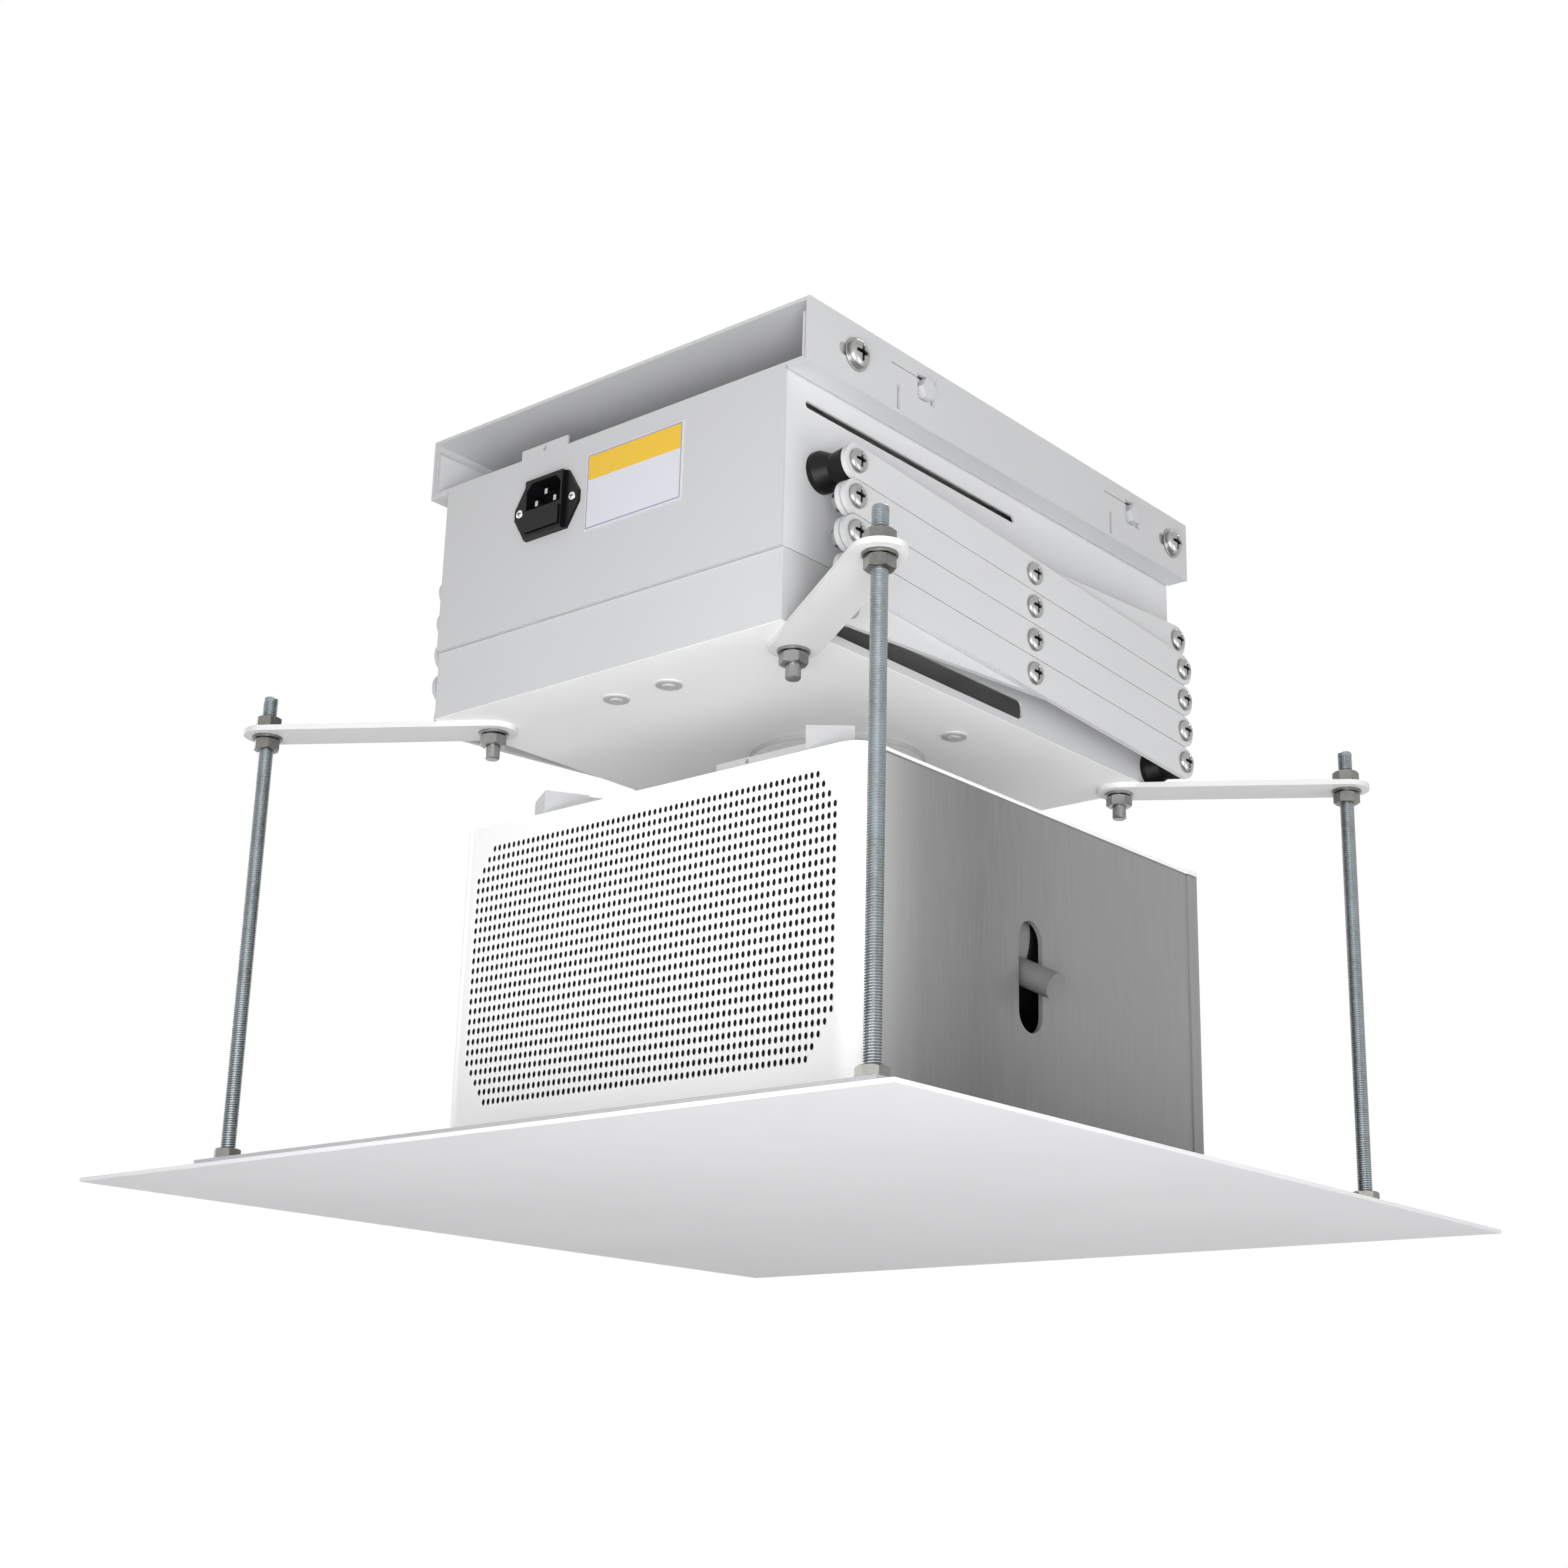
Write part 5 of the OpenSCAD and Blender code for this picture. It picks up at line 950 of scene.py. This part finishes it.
class LIFT_OT_inlet(Operator):
    """Finishes the power inlet, its pins, its fuse drawer and the fuse."""
    bl_idname = "lift.inlet"
    bl_label = "Finish the power inlet"

    def execute(self, context):
        coat(moulded("inlet_moulding", colours().inlet, 0.35, grain=1800.0, level=0.22),
             "power_inlet", "fuse_drawer")
        coat(plated_steel("inlet_pin", INLET_PIN, 0.25), "inlet_pins")
        low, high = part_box("inlet_screws")
        head_r = (high[2] - low[2]) / 2
        seat = low[0] + INLET_HEAD_H
        screw = join([cross_head(head_r, INLET_HEAD_H),
                      shank(INLET_SCREW_R, seat - high[0], HEAD_GRIP, INLET_TIP_CONE)])
        screws = join([aimed(screw, (seat, y, (low[2] + high[2]) / 2), (-1, 0, 0))
                       for y in (low[1] + head_r, high[1] - head_r)])
        piece("inlet_screw_pair", screws, plated_steel("ear_screw_recess_shade", EAR_SCREW, 0.3, recessed=True),
              "root", "inlet_screws", slot="stainless")
        low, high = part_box("fuse")
        r = Recipe("fuse_tube")
        cap = abs(r.axes()[1] - (low[1] + high[1]) / 2).ramp(*FUSE_CAP)
        r.set(Base_Color=r.mix(cap, FUSE_GLASS, FUSE_METAL), Metallic=cap, Roughness=0.18)
        coat(r.material, "fuse")
        return {"FINISHED"}


# The label's header strip, from its top, and its frame line, from its edge, with soft borders
LABEL_HEAD = (15.5 * MM, 15.2 * MM)
LINE_INNER = (1.6 * MM, 1.4 * MM)
LINE_OUTER = (0.8 * MM, 0.6 * MM)


class LIFT_OT_label(Operator):
    """Finishes the blank label: a header strip over a pale body, a thin frame line, no words."""
    bl_idname = "lift.label"
    bl_label = "Finish the label"

    def execute(self, context):
        low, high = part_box("label_plate")
        r = Recipe("label_film")
        _, y, z = r.axes()
        half_y, half_z = (high[1] - low[1]) / 2, (high[2] - low[2]) / 2
        off_y, off_z = abs(y - (low[1] + high[1]) / 2), abs(z - (low[2] + high[2]) / 2)

        def beyond(inset):
            """1 outside the rectangle that lies the inset in from the label's edge."""
            return off_y.ramp(half_y - inset[0], half_y - inset[1]).most(
                off_z.ramp(half_z - inset[0], half_z - inset[1]))

        body, head = colours().label_body, colours().label_head
        film = r.mix(z.ramp(high[2] - LABEL_HEAD[0], high[2] - LABEL_HEAD[1]), body, head)
        film = r.mix(beyond(LINE_INNER), film, colours().label_line)
        film = r.mix(beyond(LINE_OUTER), film, body)
        fleck = r.noise(scale=900.0)
        r.set(Base_Color=film, Roughness=0.3 + fleck * 0.1,
              Normal=r.bump(fleck, distance=0.02 * MM, strength=0.3))
        coat(r.material, "label_plate")
        return {"FINISHED"}


# The glass's coating turns from one tint to the other between these radii
GLASS_FADE = (6 * MM, 30 * MM)
GLASS_MIDDLE = (0.10, 0.14, 0.26)
GLASS_RIM = (0.20, 0.10, 0.24)
BARREL_BLACK = (0.018, 0.018, 0.02)


class LIFT_OT_lens(Operator):
    """Finishes the lens barrel and its coated glass."""
    bl_idname = "lift.lens"
    bl_label = "Finish the lens"

    def execute(self, context):
        coat(moulded("barrel_black", BARREL_BLACK, 0.38), "lens_barrel")
        low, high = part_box("lens_glass")
        r = Recipe("coated_glass")
        _, y, z = r.axes()
        off_y, off_z = y - (low[1] + high[1]) / 2, z - (low[2] + high[2]) / 2
        rim = ((off_y ** 2.0 + off_z ** 2.0) ** 0.5).ramp(*GLASS_FADE)
        r.set(Base_Color=r.mix(rim, GLASS_MIDDLE, GLASS_RIM), Roughness=0.04, Coat_Weight=1.0,
              Coat_Roughness=0.02, IOR=1.5, Transmission_Weight=0.55)
        coat(r.material, "lens_glass")
        return {"FINISHED"}


# Studio

# Camera: its place, its azimuth, elevation and roll, and its focal length as a share of the
# picture's width
CAMERA_AT = (-0.97609, -0.82094, -0.58511)
CAMERA_TURN = (-0.8578, -0.3043, 0.0271)
FOCAL_SHARE = 2365.84 / 1568
SENSOR_MM = 36.0

# Strength of the world's light on the lift, which is white where it is seen directly
AIR_LIGHT = 0.23

# Soft lamps: name, place, the point it looks at, side in metres and watts
LAMPS = [
    ("key_lamp", (-1.0, -2.0, -0.1), (0, 0, -0.25), 1.6, 4),
    ("casing_lamp", (-0.9, -0.2, -0.39), (-0.15, 0, -0.36), 0.4, 1.8),
    ("side_lamp", (0.6, -2.2, -0.9), (0, 0, -0.25), 1.6, 16),
    ("low_lamp", (-0.45, -0.4, -1.3), (0, 0, -0.25), 1.0, 2.8),
    ("front_lamp", (-1.05, -0.9, -0.72), (0, 0, -0.2), 0.8, 15.5),
    ("back_lamp", (-0.3, 2.0, 0.2), (0, 0, -0.25), 0.6, 8),
    ("top_lamp", (0.9, 0.6, 1.3), (0, 0, -0.2), 1.0, 14),
]


def soft_lamp(name, place, target, size, watts):
    """Square soft lamp at a place, turned to its target."""
    data = bpy.data.lights.new(name, "AREA")
    data.size = size
    data.energy = watts
    lamp = bpy.data.objects.new(name, data)
    lamp.location = place
    lamp.rotation_euler = (Vector(target) - Vector(place)).to_track_quat("-Z", "Y").to_euler()
    bpy.context.scene.collection.objects.link(lamp)


def photo_camera(scene):
    """Camera of the photograph: azimuth and elevation give its axes, and the roll turns the two
    across the view."""
    azimuth, elevation, roll = CAMERA_TURN
    forward = np.array([-math.sin(azimuth) * math.cos(elevation),
                        math.cos(azimuth) * math.cos(elevation), -math.sin(elevation)])
    right = np.cross(forward, [0, 0, 1])
    right /= np.linalg.norm(right)
    up = np.cross(right, forward)
    across = math.cos(roll) * right + math.sin(roll) * up
    above = -math.sin(roll) * right + math.cos(roll) * up
    data = bpy.data.cameras.new("photo_camera")
    data.sensor_width = SENSOR_MM
    data.lens = FOCAL_SHARE * SENSOR_MM
    data.clip_start = 0.01
    camera = bpy.data.objects.new("photo_camera", data)
    scene.collection.objects.link(camera)
    matrix = np.eye(4)
    matrix[:3] = np.stack([across, above, -forward, CAMERA_AT], 1)
    camera.matrix_world = Matrix(matrix)
    scene.camera = camera


def backdrop_surface(turn, floor_z, near, far, width, bend, height):
    """Floor that runs into a wall through a quarter circle, carried sideways over the width."""
    angle = np.radians(np.linspace(0, 90, 17))
    along = np.concatenate([[near], far - bend + bend * np.sin(angle), [far]])
    up = np.concatenate([[0], bend - bend * np.cos(angle), [height]])
    side = np.linspace(-width / 2, width / 2, 9)
    a, s = np.meshgrid(along, side, indexing="ij")
    u, _ = np.meshgrid(up, side, indexing="ij")
    x = -math.sin(turn) * a + math.cos(turn) * s
    y = math.cos(turn) * a + math.sin(turn) * s
    points = np.stack([x, y, floor_z + u], -1).reshape(-1, 3)
    return Part(points, strip_faces(len(along), 9, False)[:, ::-1])


def seen_directly(recipe):
    """1 for rays from the camera, a mirror or glass, 0 for the light that falls on the lift."""
    paths = recipe.tree.nodes.new("ShaderNodeLightPath")
    camera, glossy, through = (Wire(recipe, paths.outputs[f"Is {kind} Ray"])
                               for kind in ("Camera", "Glossy", "Transmission"))
    return (camera + glossy + through).least(1.0)


class LIFT_OT_studio(Operator):
    """Sets the photograph's camera, the pale floor and backdrop, the soft lamps and the world."""
    bl_idname = "lift.studio"
    bl_label = "Set up the studio"

    def execute(self, context):
        scene = context.scene
        photo_camera(scene)
        scene.view_settings.view_transform = "Standard"
        surface = backdrop_surface(turn=CAMERA_TURN[0], floor_z=-1.9, near=-3.5, far=4.0,
                                   width=12.0, bend=1.2, height=5.0)
        pale = Recipe("pale_floor")
        glow = pale.node("ShaderNodeEmission", {}, {"Color": (1, 1, 1), "Strength": 1.0})
        blend = pale.node("ShaderNodeMixShader", {}, {
            0: seen_directly(pale), 1: Wire(pale, pale.shader.outputs[0]), 2: glow})
        grit = pale.noise(scale=14.0, detail=3.0)
        pale.set(Base_Color=pale.mix(grit, (0.80,) * 3, (0.84,) * 3), Roughness=0.8)
        pale.link(blend, "Material Output", "Surface")
        floor = piece("studio_floor", surface, pale.material, None)
        scene.world = bpy.data.worlds.new("studio_air")
        air = Recipe("studio_air", scene.world)
        air.tree.nodes["Background"].inputs["Color"].default_value = (1, 1, 1, 1)
        strength = air.node("ShaderNodeMix", {"data_type": "FLOAT"}, {
            0: seen_directly(air), 2: AIR_LIGHT, 3: 1.0})
        air.link(strength, "Background", "Strength")
        for lamp in LAMPS:
            soft_lamp(*lamp)
        return {"FINISHED"}


OPERATORS = (LIFT_OT_studio, LIFT_OT_sheet_metal, LIFT_OT_mouldings, LIFT_OT_drive,
             LIFT_OT_casing, LIFT_OT_grille, LIFT_OT_rods, LIFT_OT_rod_nuts, LIFT_OT_screws,
             LIFT_OT_inlet, LIFT_OT_label, LIFT_OT_lens)


class LIFT_PT_panel(Panel):
    """Lists the lift's pieces, sizes and colours in the sidebar."""
    bl_idname = "LIFT_PT_panel"
    bl_label = "Projector lift"
    bl_space_type = "VIEW_3D"
    bl_region_type = "UI"
    bl_category = "Lift"

    def draw(self, context):
        layout = self.layout
        for group in (context.scene.lift_sizes, context.scene.lift_colours):
            column = layout.column(align=True)
            for key in group.bl_rna.properties.keys():
                if key not in ("rna_type", "name"):
                    column.prop(group, key)
        for operator in OPERATORS:
            layout.operator(operator.bl_idname)


CLASSES = (LiftColours, LiftSizes, *OPERATORS, LIFT_PT_panel)


def register():
    for cls in CLASSES:
        bpy.utils.register_class(cls)
    Scene.lift_colours = PointerProperty(type=LiftColours)
    Scene.lift_sizes = PointerProperty(type=LiftSizes)


def unregister():
    del Scene.lift_colours
    del Scene.lift_sizes
    for cls in reversed(CLASSES):
        bpy.utils.unregister_class(cls)


def main():
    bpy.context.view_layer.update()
    register()
    for operator in OPERATORS:
        group, name = operator.bl_idname.split(".")
        getattr(getattr(bpy.ops, group), name)()


if __name__ == "__main__":
    main()
